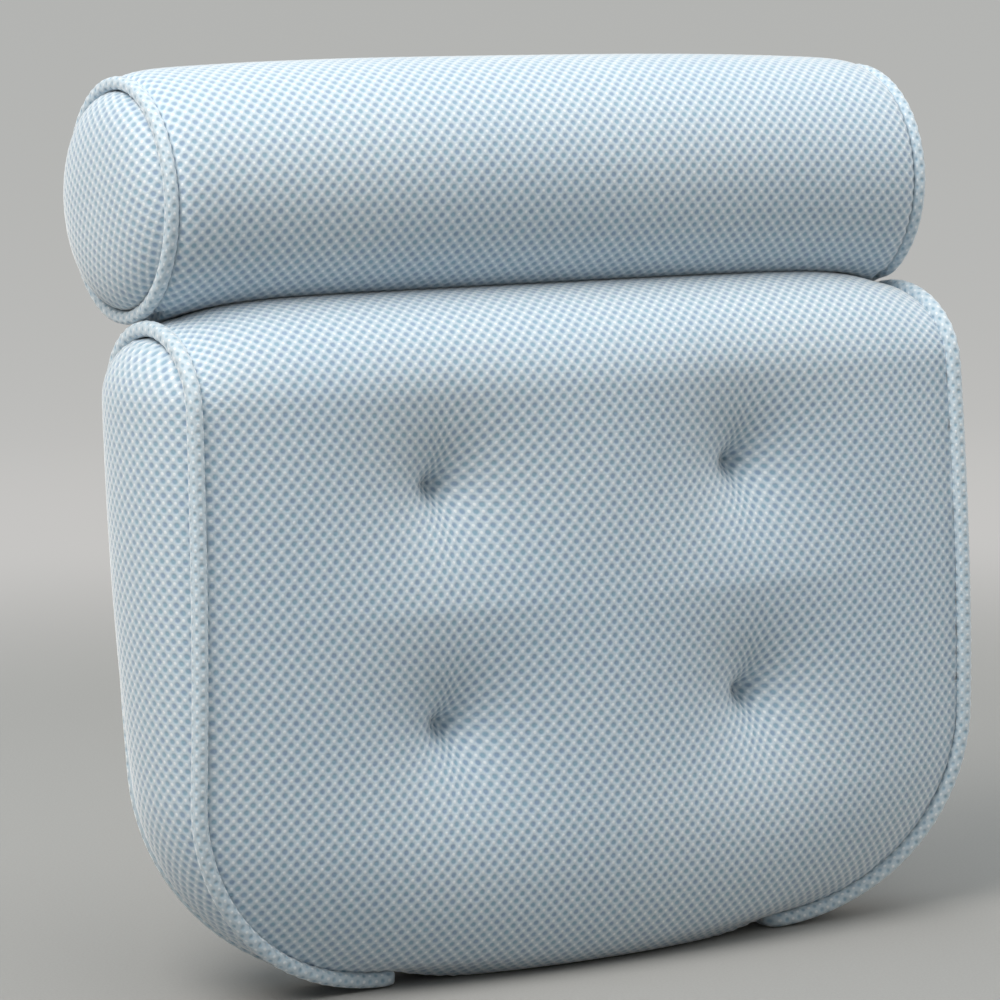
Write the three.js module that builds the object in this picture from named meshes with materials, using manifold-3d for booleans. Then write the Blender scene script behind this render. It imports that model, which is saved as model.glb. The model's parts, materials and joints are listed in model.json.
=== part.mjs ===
// Bath pillow in two padded parts. A thick back cushion stands on its lower edge, and a neck roll is sewn to
// the cushion's upper back edge by a strip of cloth, so that it can fold back over the rim of a bath.
// Millimetres. X runs across the pillow, Y from its front to its back, and Z up from what it stands on.

import * as THREE from "three";
import { mergeVertices } from "three/addons/utils/BufferGeometryUtils.js";
import Module from "manifold-3d";

const wasm = await Module();
wasm.setup();

// Cloth and clearances
const sewnGap = 0.3; // left between two pieces that touch
const coverWall = 4; // the air mesh cloth of covers, side panels and end panels
const cutOverrun = 3; // how far a cutting tool reaches past what it cuts

// Back cushion: its outline, seen from the front
const cushionWidth = 351; // between the side seams at the shoulders
const cushionHeight = 272; // to the top of the padding
const shoulderHeight = 240; // where the padding begins to round over to the top
const hipSpread = 5.5; // how much further out each side seam lies at the foot than at the shoulders
const cornerHeight = 90; // where the sides begin to round in towards the foot
const footWidth = 177; // between the two points where the side panels end
const footLift = 6.5; // how far those points stay clear of the ground
const topCornerRadius = 8;

// Back cushion: its depth, seen from the side
const leanAngle = THREE.MathUtils.degToRad(4.5); // how far it leans back
const sidePanelWidth = 76; // the side panels at their widest
const sidePanelTabWidth = 6; // the side panels at the foot
const frontCrown = 8; // how far the middle of the front swells past the seams
const backCrown = 5;
const footDepthFront = 21; // the flat that it stands on, before and behind the middle of the cushion
const footDepthBack = 35;
const bellyHeight = 70; // where the padding above that flat has reached its full depth
const sidePanelSwell = 4;

// Tufts, where a tie draws front and back together
const tuftHeights = [107, 203];
const tuftSpacing = 141; // across, at the shoulders' width
const tuftDepthFront = 19;
const tuftDepthBack = 13;
const tuftReach = 22; // the distance over which a tuft's dimple fades to about a third
const tuftLines = [14, 32]; // how far from a tuft the cover has its next two lines of points
const tieRadius = 0.9;
const tieGap = 0.6; // play round a tie in the padding, and how far it reaches out past the cloth
const tieSides = 4;
const tieKnotRadius = 3;
const knotSegments = 10;

// Piping, the corded edge of every seam
const pipingRadius = 2.75;
const pipingTilt = THREE.MathUtils.degToRad(12); // from straight out of the panel towards its edge
const pipingSides = 6;

// Neck roll
const rollWidth = 347; // between the end seams
const rollDepth = 105;
const rollHeight = 102;
const rollSetBack = 25; // how far its middle lies behind the middle of the cushion
const rollSink = 1.5; // how far its weight presses it into the cushion's top
const rollEndDraw = 5; // how much its radius draws in at the end seams
const rollEndSwell = 9; // how far the end panels bulge
const rollPoints = 28; // around the roll

// Strip of cloth that joins the roll to the cushion
const stripLength = 290;
const stripThickness = 1.6;
const hingeAngle = THREE.MathUtils.degToRad(25); // where the strip meets the roll, behind its lowest line

// Suction cups and the patches that they button through
const cupDiameter = 52;
const cupHeight = 17; // from the cloth to the rim
const cupRimWidth = 2.5;
const cupRimThickness = 1.4;
const cupHubRadius = 9;
const cupHubThickness = 3.2;
const cupNeckRadius = 4;
const cupHeadRadius = 7.5;
const cupHeadThickness = 3;
const cupHeadSlack = 1; // play round a cup's head, behind the cloth
const cupNeckSlack = 0.9; // play round a cup's neck, in the cloth
const cupSegments = 18;
const holeSegments = 8;
const patchDiameter = 36;
const patchThickness = 1.5;
const cushionCupHeights = [80, 200];
const cushionCupSpacings = [196, 262];
const rollCupSpacing = 210;

const cornerShares = [0.09, 0.35, 0.72]; // lines of points between the foot and the lower tufts
const outerLineShare = 0.65; // the line of points between the outermost tuft line and the side seam
const footFlatShare = 0.8; // how much of the foot's width lies on the ground
const footSwellShare = 1.6; // how late the padding swells between the seams, at the foot
const bodySwellShare = 0.67; // and above the belly
const stripEndShare = 0.02; // the strip's ends lie at least this far past the last of the cover's lines
const cushionHalf = cushionWidth / 2;
const footHalf = footWidth / 2;
const rollHalf = rollWidth / 2;
const roundSteps = 3; // lines of points from the shoulder to the top
const profileSteps = 4; // points on each curve of a cup's profile

const mix = (from, to, share) => from + (to - from) * share;
const within = (value, low, high) => Math.min(Math.max(value, low), high);
const quarterRound = (share) => Math.sqrt(1 - (1 - within(share, 0, 1)) ** 2);
const leanAt = (height) => height * Math.tan(leanAngle);

// Solids: joining and cutting
function solidOf(geometry) {
  const bare = geometry.index ? geometry.toNonIndexed() : geometry.clone();
  bare.deleteAttribute("normal");
  bare.deleteAttribute("uv");
  const merged = mergeVertices(bare);
  return new wasm.Manifold(
    new wasm.Mesh({
      numProp: 3,
      vertProperties: merged.attributes.position.array,
      triVerts: new Uint32Array(merged.index.array),
    }),
  );
}

function geometryOf(solid) {
  const { vertProperties, triVerts } = solid.getMesh();
  const geometry = new THREE.BufferGeometry();
  geometry.setAttribute("position", new THREE.BufferAttribute(new Float32Array(vertProperties), 3));
  geometry.setIndex(new THREE.BufferAttribute(new Uint32Array(triVerts), 1));
  geometry.computeVertexNormals();
  return geometry;
}

function cut(geometry, tools) {
  return geometryOf(tools.reduce((solid, tool) => solid.subtract(solidOf(tool)), solidOf(geometry)));
}

function join(geometries) {
  return geometryOf(geometries.map(solidOf).reduce((whole, solid) => whole.add(solid)));
}

// A closed surface through rings of points. Each ring holds as many points as the next. An end is closed by
// pairing the points on the two sides of its ring; a ring of rings closes on itself. From ring `turnedFrom`
// on, each four-cornered face is split the other way.
function loft(rings, isClosed = false, turnedFrom = rings.length) {
  const count = rings[0].length;
  const faces = [];
  const at = (ring, point) => (ring % rings.length) * count + ((point + count) % count);
  const quad = (a, b, c, d) => faces.push(a, b, c, a, c, d);
  for (let ring = 0; ring < rings.length - (isClosed ? 0 : 1); ring++)
    for (let point = 0; point < count; point++) {
      const near = [at(ring, point), at(ring, point + 1)];
      const far = [at(ring + 1, point + 1), at(ring + 1, point)];
      quad(...(ring < turnedFrom ? [...near, ...far] : [far[1], ...near, far[0]]));
    }
  if (!isClosed)
    for (let point = 0; point < count / 2; point++) {
      const end = rings.length - 1;
      quad(at(0, -point), at(0, -point - 1), at(0, point + 1), at(0, point));
      quad(at(end, point), at(end, point + 1), at(end, -point - 1), at(end, -point));
    }
  return facingOut(rings.flat(), faces);
}

// A cover open at both ends: its outer layer and its inner one, joined at the ends
const sleeve = (outer, inner) => loft([...outer, ...inner.reverse()], true, outer.length);

function facingOut(points, faces) {
  const isFlat = (a, b, c) => a === b || b === c || a === c;
  const kept = [];
  let volume = 0;
  for (let i = 0; i < faces.length; i += 3) {
    const corners = faces.slice(i, i + 3);
    if (isFlat(...corners)) continue;
    const [a, b, c] = corners.map((corner) => points[corner]);
    volume += a.dot(b.clone().cross(c));
    kept.push(corners);
  }
  const turned = volume < 0 ? kept.map((corners) => corners.reverse()) : kept;
  const geometry = new THREE.BufferGeometry().setFromPoints(points);
  geometry.setIndex(turned.flat());
  geometry.computeVertexNormals();
  return geometry;
}

// Back cushion: half its width between the side seams
function outlineHalf(height) {
  const side = cushionHalf + hipSpread * (1 - height / shoulderHeight);
  const inward = within((cornerHeight - height) / (cornerHeight - footLift), 0, 1);
  const topTurn = within((height - cushionHeight) / topCornerRadius + 1, 0, 1);
  const topDraw = topCornerRadius * (1 - Math.sqrt(1 - topTurn ** 2));
  return mix(footHalf, side, Math.sqrt(1 - inward ** 2)) - topDraw;
}

// Half the side panel's width: a leaf that narrows from the shoulder down to the foot
function sidePanelHalf(height) {
  const growth = Math.sin((within(height / shoulderHeight, 0, 1) ** 0.6 * Math.PI) / 2);
  return mix(sidePanelTabWidth / 2, sidePanelWidth / 2, growth);
}

// How far the padding swells from the seams to the middle, more slowly near the foot
function swellShare(across, height) {
  const steepness = mix(footSwellShare, bodySwellShare, quarterRound(height / bellyHeight));
  return (1 - Math.abs(across) ** 2.4) ** steepness;
}

// Depth of the padding before or behind the cushion's middle, up to the shoulder
function paddingHalf(across, height, isFront) {
  const atSeam = sidePanelHalf(height);
  const crown = isFront ? frontCrown : backCrown;
  const foot = isFront ? footDepthFront : footDepthBack;
  const atMiddle = mix(foot, sidePanelWidth / 2 + crown, quarterRound(height / bellyHeight));
  return mix(atSeam, atMiddle, swellShare(across, height)) - tuftDimple(across, height, isFront);
}

const tuftShare = tuftSpacing / 2 / outlineHalf(shoulderHeight);

function tuftDimple(across, height, isFront) {
  const depth = isFront ? tuftDepthFront : tuftDepthBack;
  const sideways = (Math.abs(across) - tuftShare) * outlineHalf(height);
  const dimples = tuftHeights.map((tuft) => Math.exp(-Math.hypot(sideways, height - tuft) / tuftReach));
  return depth * Math.max(...dimples);
}

// Each value on both sides of zero, with or without zero itself
const mirrored = (values, middle = []) => [...values.map((value) => -value).reverse(), ...middle, ...values];

// Lines of points up one side of the cushion: heights up to the shoulder, then turns over to the top
function sideLines() {
  const [lower, upper] = tuftHeights;
  const nearTuft = (tuft) => mirrored(tuftLines, [0]).map((line) => tuft + line);
  const corner = cornerShares.map((share) => mix(footLift, lower - tuftLines[1], share));
  const foot = [0, ...corner];
  const heights = [...foot, ...nearTuft(lower), ...nearTuft(upper)];
  const upright = heights.map((height) => ({ height, turn: 0 }));
  const over = Array.from({ length: roundSteps }, (_, step) => ({
    height: shoulderHeight,
    turn: ((step + 1) / roundSteps) * (Math.PI / 2),
  }));
  return [...upright, ...over];
}

function acrossShares() {
  const near = mirrored(tuftLines, [0]).map((line) => tuftShare + line / cushionHalf);
  return mirrored([...near, mix(near.at(-1), 1, outerLineShare), 1]);
}

// A point moved inwards by a gap if it lies on an end ring
function endMoved(point, across, gap) {
  return Math.abs(across) === 1 ? point.setX(point.x - across * gap) : point;
}

// One point of the cushion's surface, or of a layer that lies `inset` inside it
function cushionPoint(across, line, isFront, inset, endGap = 0) {
  const roundHeight = mix(shoulderHeight, cushionHeight, Math.sin(line.turn));
  const height = line.turn > 0 ? roundHeight : line.height;
  const full = paddingHalf(across, line.height, isFront) * Math.cos(line.turn);
  const half = inset > 0 ? full ** 2 / (full + inset) : full - inset;
  const lift = footLift * quarterRound((Math.abs(across) - footFlatShare) / (1 - footFlatShare));
  const low = line.height === 0 ? lift : Math.max(height, lift);
  const z = mix(low + inset, low - inset, height / cushionHeight);
  const x = across * outlineHalf(Math.max(height, footLift));
  return endMoved(new THREE.Vector3(x, leanAt(z) + (isFront ? -half : half), z), across, endGap);
}

function cushionRing(across, inset, endGap) {
  const lines = sideLines();
  const front = lines.map((line) => cushionPoint(across, line, true, inset, endGap));
  const back = lines.map((line) => cushionPoint(across, line, false, inset, endGap)).reverse();
  const underneath = front[0].clone().lerp(back.at(-1), 0.5);
  return [underneath, ...front, ...back.slice(1)];
}

function cushionRings(inset, endGap = 0) {
  return acrossShares().map((across) => cushionRing(across, inset, endGap));
}

// The height of the cushion's top, or of the piping that stands on it, under a point of the roll
function cushionTopAt(x, y) {
  const across = within(x / outlineHalf(shoulderHeight), -1, 1);
  let height = cushionHeight;
  for (let pass = 0; pass < 3; pass++) {
    const from = y - leanAt(height);
    const reach = paddingHalf(across, shoulderHeight, from < 0);
    const turn = Math.acos(within(Math.abs(from) / reach, 0, 1));
    height = mix(shoulderHeight, cushionHeight, Math.sin(turn));
  }
  const isOverPiping = Math.abs(x) > outlineHalf(cushionHeight) - pipingRadius;
  return height + (isOverPiping ? pipingRise + sewnGap : 0);
}

// The seam round a side panel, with the directions out of the panel and out past its edge
function sideSeam(side) {
  const ring = cushionRing(side, 0);
  return ring.map((corner, index) => {
    const before = ring.at(index - 1);
    const after = ring[(index + 1) % ring.length];
    const along = after.clone().sub(before).normalize();
    const out = panelNormal(side, corner.z);
    const past = new THREE.Vector3().crossVectors(along, out).multiplyScalar(-side).normalize();
    return { corner, out, past };
  });
}

function panelNormal(side, height) {
  const low = Math.max(height - sewnGap, footLift);
  const high = Math.min(low + sewnGap * 2, shoulderHeight);
  const from = Math.min(low, high - sewnGap);
  const rise = new THREE.Vector2(outlineHalf(high) - outlineHalf(from), high - from).normalize();
  return new THREE.Vector3(side * rise.y, 0, -rise.x);
}

const pipingStand = pipingRadius + sewnGap;
const pipingRise = pipingStand * Math.sin(pipingTilt) + pipingRadius;
const panelInset = pipingRadius - pipingStand * Math.sin(pipingTilt) + sewnGap;

// A corded edge along a seam, given as corners with the two directions that it stands out in
function piping(seam) {
  return loft(
    seam.map(({ corner, out, past }) => {
      const middle = corner
        .clone()
        .addScaledVector(out, pipingStand * Math.cos(pipingTilt))
        .addScaledVector(past, pipingStand * Math.sin(pipingTilt));
      return Array.from({ length: pipingSides }, (_, index) => {
        const turn = (index / pipingSides) * 2 * Math.PI;
        return middle
          .clone()
          .addScaledVector(out, pipingRadius * Math.cos(turn))
          .addScaledVector(past, pipingRadius * Math.sin(turn));
      });
    }),
    true,
  );
}

// Side panel: a leaf of cloth that closes one end of the cushion's cover, inside the piping
function sidePanel(side) {
  const seam = sideSeam(side);
  const edge = ({ corner, past }) => corner.clone().addScaledVector(past, -panelInset);
  const pairs = sideLines().map((_, line) => [seam[line + 1], seam.at(-line - 1)]);
  return loft(pairs.slice(1, -1).map(([front, back]) => panelSection(edge(front), edge(back), front.out)));
}

function panelSection(front, back, out) {
  const middle = front.clone().lerp(back, 0.5);
  const half = back.clone().sub(middle);
  const swell = (share) => (1 - share ** 2) * sidePanelSwell * (half.length() / (sidePanelWidth / 2));
  const shares = [-1, -0.5, 0, 0.5, 1];
  const place = (share, stand) =>
    middle
      .clone()
      .addScaledVector(out, stand + swell(share))
      .addScaledVector(half, share);
  const inner = shares.map((share) => place(share, sewnGap));
  const outer = shares.map((share) => place(share, sewnGap + coverWall));
  const [frontEdge, backEdge] = [-1, 1].map((share) => place(share, sewnGap + coverWall / 2));
  return [frontEdge, ...inner, backEdge, ...outer.reverse()];
}

// Neck roll
const rollHeightAt = cushionHeight + rollHeight / 2 - rollSink;
const rollMiddle = new THREE.Vector3(0, leanAt(rollHeightAt) + rollSetBack, rollHeightAt);
const rollShares = [-1, -0.96, -0.86, -0.6, 0, 0.6, 0.86, 0.96, 1];

// One point of the roll's surface, or of a layer inside it; turn 0 is its lowest line, and it never enters
// the cushion that it rests on
function rollPoint(across, turn, inset, spread = 1) {
  const draw = rollEndDraw * Math.abs(across) ** 5;
  const x = across * rollHalf;
  const y = rollMiddle.y - (rollDepth / 2 - draw - inset) * spread * Math.sin(turn);
  const z = rollMiddle.z - (rollHeight / 2 - draw - inset) * spread * Math.cos(turn);
  const ownPiping = Math.abs(across) === 1 ? pipingRise : 0;
  return new THREE.Vector3(x, y, Math.max(z, cushionTopAt(x, y) + ownPiping + sewnGap + inset));
}

function rollRing(across, inset, spread = 1) {
  const turns = Array.from({ length: rollPoints }, (_, index) => (index / rollPoints) * 2 * Math.PI);
  return turns.map((turn) => rollPoint(across, turn, inset, spread));
}

function rollSeam(side) {
  const ring = rollRing(side, 0);
  const out = new THREE.Vector3(side, 0, 0);
  return ring.map((corner, index) => {
    const along = ring[(index + 1) % ring.length].clone().sub(ring.at(index - 1)).normalize();
    const past = new THREE.Vector3().crossVectors(along, out).multiplyScalar(-side).normalize();
    return { corner, out, past };
  });
}

// End panel: a bulged disc of cloth that closes one end of the roll's cover
function endPanel(side) {
  const spreads = [0.12, 0.5, 0.82, 1];
  const layer = (stand) =>
    spreads.map((spread) =>
      rollRing(side, panelInset, spread).map((point) => {
        const bulge = rollEndSwell * (1 - spread ** 2);
        return point.setX(side * (rollHalf + stand + bulge));
      }),
    );
  return loft([...layer(sewnGap), ...layer(sewnGap + coverWall).reverse()]);
}

function tuftPlaces() {
  return tuftHeights.flatMap((height) =>
    [-1, 1].map((side) => new THREE.Vector3(side * tuftShare * outlineHalf(height), 0, height)),
  );
}

function tuftRod(place, radius, overrun) {
  const front = leanAt(place.z) - paddingHalf(tuftShare, place.z, true) - overrun;
  const back = leanAt(place.z) + paddingHalf(tuftShare, place.z, false) + overrun;
  const thread = new THREE.CylinderGeometry(radius, radius, back - front, tieSides);
  return thread.translate(place.x, (front + back) / 2, place.z);
}

// Tie: a thread through the cushion with a knot in the dimple at each end
function tuftTie(place, cushionSpace) {
  const half = (isFront) => paddingHalf(tuftShare, place.z, isFront);
  const ball = new THREE.SphereGeometry(tieKnotRadius, knotSegments, knotSegments / 2);
  const knot = (y) => cut(ball.clone().translate(place.x, leanAt(place.z) + y, place.z), [cushionSpace]);
  const knots = [knot(-half(true)), knot(half(false))];
  return join([tuftRod(place, tieRadius, tieGap), ...knots]);
}

// Where a cup stands on the cloth, and the direction that it faces
function cushionCupSeat(side, height, spacing) {
  const across = (side * spacing) / 2 / outlineHalf(height);
  const at = (share, z) => cushionPoint(share, { height: z, turn: 0 }, false, 0);
  const step = coverWall;
  const sideways = at(across + step / cushionHalf, height).sub(at(across - step / cushionHalf, height));
  const upward = at(across, height + step).sub(at(across, height - step));
  return { foot: at(across, height), facing: upward.cross(sideways).normalize() };
}

function rollCupSeat(side) {
  const x = (side * rollCupSpacing) / 2;
  const foot = rollPoint(x / rollHalf, -Math.PI / 2, 0);
  return { foot, facing: new THREE.Vector3(0, 1, 0) };
}

// Pieces that stand on a cup's seat are turned about Y, with 0 at the cloth's outer face
function onSeat(geometry, { foot, facing }) {
  const turn = new THREE.Quaternion().setFromUnitVectors(new THREE.Vector3(0, 1, 0), facing);
  return geometry.clone().applyQuaternion(turn).translate(...foot.toArray());
}

function lathe(profile, segments = cupSegments) {
  const points = profile.map(([radius, height]) => new THREE.Vector2(radius, height));
  return new THREE.LatheGeometry(points, segments);
}

function rod(radius, low, high) {
  const profile = [
    [0, low],
    [radius, low],
    [radius, high],
    [0, high],
  ];
  return lathe(profile, holeSegments);
}

// Suction cup: a bowl, a neck that passes through the patch and the cloth, and a head behind the cloth
function suctionCup() {
  const headTop = -(coverWall + cupHeadSlack);
  const headLow = headTop - cupHeadThickness;
  const bowlLow = patchThickness + sewnGap;
  const rimRadius = cupDiameter / 2;
  const curve = (fromRadius, fromHeight, toRadius, toHeight) =>
    Array.from({ length: profileSteps + 1 }, (_, step) => {
      const turn = (step / profileSteps) * (Math.PI / 2);
      return [mix(fromRadius, toRadius, Math.sin(turn)), mix(toHeight, fromHeight, Math.cos(turn))];
    });
  const outside = curve(cupHubRadius, bowlLow, rimRadius, cupHeight - cupRimThickness);
  const inside = curve(0, bowlLow + cupHubThickness, rimRadius - cupRimWidth, cupHeight);
  return lathe([
    [0, headLow],
    [cupHeadRadius, headLow],
    [cupHeadRadius, headTop],
    [cupNeckRadius, headTop],
    [cupNeckRadius, bowlLow],
    ...outside,
    [rimRadius, cupHeight],
    ...inside.reverse(),
  ]);
}

// Patch: a round of cloth sewn to the cover, with the buttonhole for a cup's neck
function patch(seat, paddedSpace) {
  const hole = cupNeckRadius + sewnGap;
  const ring = lathe([
    [hole, -coverWall],
    [patchDiameter / 2, -coverWall],
    [patchDiameter / 2, patchThickness],
    [hole, patchThickness],
    [hole, -coverWall],
  ]);
  return cut(onSeat(ring, seat), [paddedSpace]);
}

function cupHole(seat) {
  return onSeat(rod(cupNeckRadius + cupNeckSlack, -coverWall - cutOverrun, cutOverrun), seat);
}

function headSpace(seat) {
  const deep = coverWall + cupHeadSlack + cupHeadThickness + sewnGap;
  return onSeat(rod(cupHeadRadius + cupHeadSlack, -deep, cutOverrun), seat);
}

// Strip: sewn to the cushion's back, it ends in a rounded edge on the fold line at the roll
const foldRadius = stripThickness / 2 + sewnGap;
const foldLine = rollPoint(0, -hingeAngle, -foldRadius);

function stripRing(across) {
  const lines = sideLines().slice(-roundSteps - 1, -roundSteps + 1);
  const path = lines.map((line) => cushionPoint(across, line, false, -foldRadius));
  path.push(foldLine.clone().setX(path[0].x));
  const normals = path.map((point, index) => {
    const along = path[Math.min(index + 1, path.length - 1)].clone().sub(path[Math.max(index - 1, 0)]);
    return new THREE.Vector3(0, along.z, -along.y).normalize();
  });
  const half = stripThickness / 2;
  const moved = (point, index, stand) => point.clone().addScaledVector(normals[index], stand);
  const face = (side) => path.map((point, index) => moved(point, index, side * half));
  const tip = new THREE.Vector3(0, -normals.at(-1).z, normals.at(-1).y);
  const end = path.at(-1).clone().addScaledVector(tip, half);
  const start = path[0].clone();
  return [start, ...face(-1), end, ...face(1).reverse()];
}

function foldStrip() {
  const reach = stripLength / 2 / outlineHalf(shoulderHeight);
  const inner = acrossShares().filter((share) => Math.abs(share) < reach - stripEndShare);
  return loft([-reach, ...inner, reach].map(stripRing));
}

// Finishes
const finish = (color, roughness) => new THREE.MeshStandardMaterial({ color, roughness, metalness: 0 });
const airMesh = finish(0xb3ccd8, 0.9);
const edgeCord = finish(0xc6d8e1, 0.85);
const fibreFill = finish(0xf2f4f3, 1);
const tieThread = finish(0xdfe9ee, 0.7);
const patchCloth = finish(0x9fbccb, 0.9);
const softPlastic = finish(0xdde6ea, 0.25);

const named = (name, geometry, material) => {
  const mesh = new THREE.Mesh(geometry, material);
  mesh.name = name;
  return mesh;
};

const sides = [
  ["left", -1],
  ["right", 1],
];

// A cup placed by its seat, in the pillow's own frame
function placedCup(name, seat) {
  const cup = named(name, suctionCup(), softPlastic);
  cup.position.copy(seat.foot);
  cup.quaternion.setFromUnitVectors(new THREE.Vector3(0, 1, 0), seat.facing);
  return cup;
}

function backCushion() {
  const group = new THREE.Group();
  const seats = ["lower", "upper"].flatMap((level, row) =>
    sides.map(([sideName, side]) => ({
      name: level + "_" + sideName,
      seat: cushionCupSeat(side, cushionCupHeights[row], cushionCupSpacings[row]),
    })),
  );
  const holes = tuftPlaces().map((place) => tuftRod(place, tieRadius + tieGap, cutOverrun));
  const cover = sleeve(cushionRings(0), cushionRings(coverWall));
  const fill = loft(cushionRings(coverWall + sewnGap, sewnGap));
  const space = loft(cushionRings(-sewnGap));
  const cupHoles = seats.map(({ seat }) => cupHole(seat));
  const heads = seats.map(({ seat }) => headSpace(seat));
  group.add(named("cushion_cover", cut(cover, [...holes, ...cupHoles]), airMesh));
  group.add(named("cushion_fill", cut(fill, [...holes, ...heads]), fibreFill));
  for (const [sideName, side] of sides) {
    group.add(named("side_panel_" + sideName, sidePanel(side), airMesh));
    group.add(named("cushion_piping_" + sideName, piping(sideSeam(side)), edgeCord));
  }
  tuftPlaces().forEach((place, index) => {
    const name = "tuft_tie_" + seats[index].name;
    group.add(named(name, tuftTie(place, space), tieThread));
  });
  for (const { name, seat } of seats) {
    group.add(named("cushion_cup_patch_" + name, patch(seat, space), patchCloth));
    group.add(placedCup("cushion_cup_" + name, seat));
  }
  group.add(named("fold_strip", foldStrip(), airMesh));
  return group;
}

function neckRoll() {
  const group = new THREE.Group();
  const rings = (inset, endGap = 0) =>
    rollShares.map((across) => rollRing(across, inset).map((point) => endMoved(point, across, endGap)));
  const seats = sides.map(([sideName, side]) => ({ name: sideName, seat: rollCupSeat(side) }));
  const cover = sleeve(rings(0), rings(coverWall));
  const fill = loft(rings(coverWall + sewnGap, sewnGap));
  const space = loft(rings(-sewnGap));
  const holes = seats.map(({ seat }) => cupHole(seat));
  const heads = seats.map(({ seat }) => headSpace(seat));
  group.add(named("roll_cover", cut(cover, holes), airMesh));
  group.add(named("roll_fill", cut(fill, heads), fibreFill));
  for (const [sideName, side] of sides) {
    group.add(named("roll_end_panel_" + sideName, endPanel(side), airMesh));
    group.add(named("roll_piping_" + sideName, piping(rollSeam(side)), edgeCord));
  }
  for (const { name, seat } of seats) {
    group.add(named("roll_cup_patch_" + name, patch(seat, space), patchCloth));
    group.add(placedCup("roll_cup_" + name, seat));
  }
  return group;
}

const pillow = new THREE.Group();
pillow.add(backCushion(), neckRoll());

// The part's origin is at the middle of its whole depth, on the ground
pillow.updateMatrixWorld(true);
pillow.position.y = -new THREE.Box3().setFromObject(pillow, true).getCenter(new THREE.Vector3()).y;

export default pillow;
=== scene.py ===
# %% [markdown]
# # A bath pillow of air mesh
#
# The real pillow is two padded pieces of a knitted air mesh: a thick back cushion, drawn in by four tufts,
# and a neck roll that lies on top of it. Every seam carries a piping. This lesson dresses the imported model
# of the pillow: each sewn piece is made again as a fine mesh in the place that its solid holds, and the
# cloth is given the small holes, the sheen and the soft folds of the real one.

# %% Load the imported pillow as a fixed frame
import json
import math

import bpy
import numpy as np
from mathutils import Matrix, Vector

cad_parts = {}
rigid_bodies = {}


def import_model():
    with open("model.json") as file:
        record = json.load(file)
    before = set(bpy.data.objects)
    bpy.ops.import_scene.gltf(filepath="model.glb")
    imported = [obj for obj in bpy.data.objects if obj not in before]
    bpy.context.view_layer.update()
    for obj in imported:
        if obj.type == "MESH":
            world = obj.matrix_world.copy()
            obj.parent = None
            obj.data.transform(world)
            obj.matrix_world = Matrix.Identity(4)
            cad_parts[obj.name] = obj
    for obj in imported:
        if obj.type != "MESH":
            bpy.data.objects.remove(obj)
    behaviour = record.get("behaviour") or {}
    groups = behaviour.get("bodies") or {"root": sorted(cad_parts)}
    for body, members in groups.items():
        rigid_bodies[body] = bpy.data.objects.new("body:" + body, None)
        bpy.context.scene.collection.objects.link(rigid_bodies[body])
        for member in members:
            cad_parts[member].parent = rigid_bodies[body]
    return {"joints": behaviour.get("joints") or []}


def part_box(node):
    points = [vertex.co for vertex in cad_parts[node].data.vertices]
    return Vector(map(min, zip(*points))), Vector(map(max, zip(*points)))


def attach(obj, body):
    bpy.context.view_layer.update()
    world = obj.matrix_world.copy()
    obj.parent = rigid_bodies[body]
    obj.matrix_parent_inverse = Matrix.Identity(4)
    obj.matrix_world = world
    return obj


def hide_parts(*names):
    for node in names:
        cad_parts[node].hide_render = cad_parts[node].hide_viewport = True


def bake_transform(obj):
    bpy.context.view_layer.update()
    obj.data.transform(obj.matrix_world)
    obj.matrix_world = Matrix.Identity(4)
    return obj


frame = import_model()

full_turn = 2 * math.pi
mm_per_metre = 1000
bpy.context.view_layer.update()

# %% [markdown]
# ## The camera
#
# The picture was taken with a long lens from the left and a little above. A long lens keeps the far end of
# the pillow almost as large as the near one. The angles and the distance below are what puts the seams, the
# pipings and the tufts where the picture shows them.

# %% The picture's camera
picture_pixels = 1000
focal_pixels = 3824
sensor_width = 36
camera_azimuth = math.radians(-29.19)
camera_elevation = math.radians(7.43)
camera_roll = math.radians(-0.70)
camera_distance = 1.560
aim = Vector((-0.0337, -0.03997, 0.1933))


def camera_axes():
    """Forward, right and up of the camera, as unit vectors."""
    across = Vector((math.cos(camera_azimuth), math.sin(camera_azimuth), 0))
    level = Vector((-math.sin(camera_azimuth), math.cos(camera_azimuth), 0))
    forward = level * math.cos(camera_elevation) - Vector((0, 0, 1)) * math.sin(camera_elevation)
    up = across.cross(forward)
    right = across * math.cos(camera_roll) + up * math.sin(camera_roll)
    return forward, right, right.cross(forward)


def add_object(name, data):
    """Puts a camera, a lamp or a mesh into the scene."""
    made = bpy.data.objects.new(name, data)
    bpy.context.scene.collection.objects.link(made)
    return made


def place_camera():
    """The picture's camera, with its long lens."""
    forward, right, up = camera_axes()
    data = bpy.data.cameras.new("picture_camera")
    data.sensor_width = sensor_width
    data.lens = focal_pixels / picture_pixels * sensor_width
    camera = add_object("picture_camera", data)
    camera.matrix_world = Matrix((right, up, -forward)).transposed().to_4x4()
    camera.location = aim - forward * camera_distance
    bpy.context.scene.camera = camera
    return camera


print("lens", round(place_camera().data.lens, 1), "mm")

# %% [markdown]
# ## The stage
#
# A grey paper sweep lies under the pillow and bends up all round it, as in a small photo studio: one sheet
# without a corner, so that no edge shows from any side. The main lamp stands high on the left, a weaker one
# on the right fills its shadows, and three more hang over the pillow, before it and behind it. A lamp that
# is wide for its distance gives soft shading.

# %% The paper sweep and the lamps
sweep_floor = 1.9
sweep_bend = 0.9
sweep_top = 3.2
sweep_steps = 24
sweep_turns = 96
warm_white = (1.0, 0.97, 0.93)
lamp_aim = Vector((0, 0, 0.2))
lamp_size = 1.3
wide_lamp_size = 2.6
sky_colour = (0.68, 0.87, 1.0, 1)
sky_strength = 0.75


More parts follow.
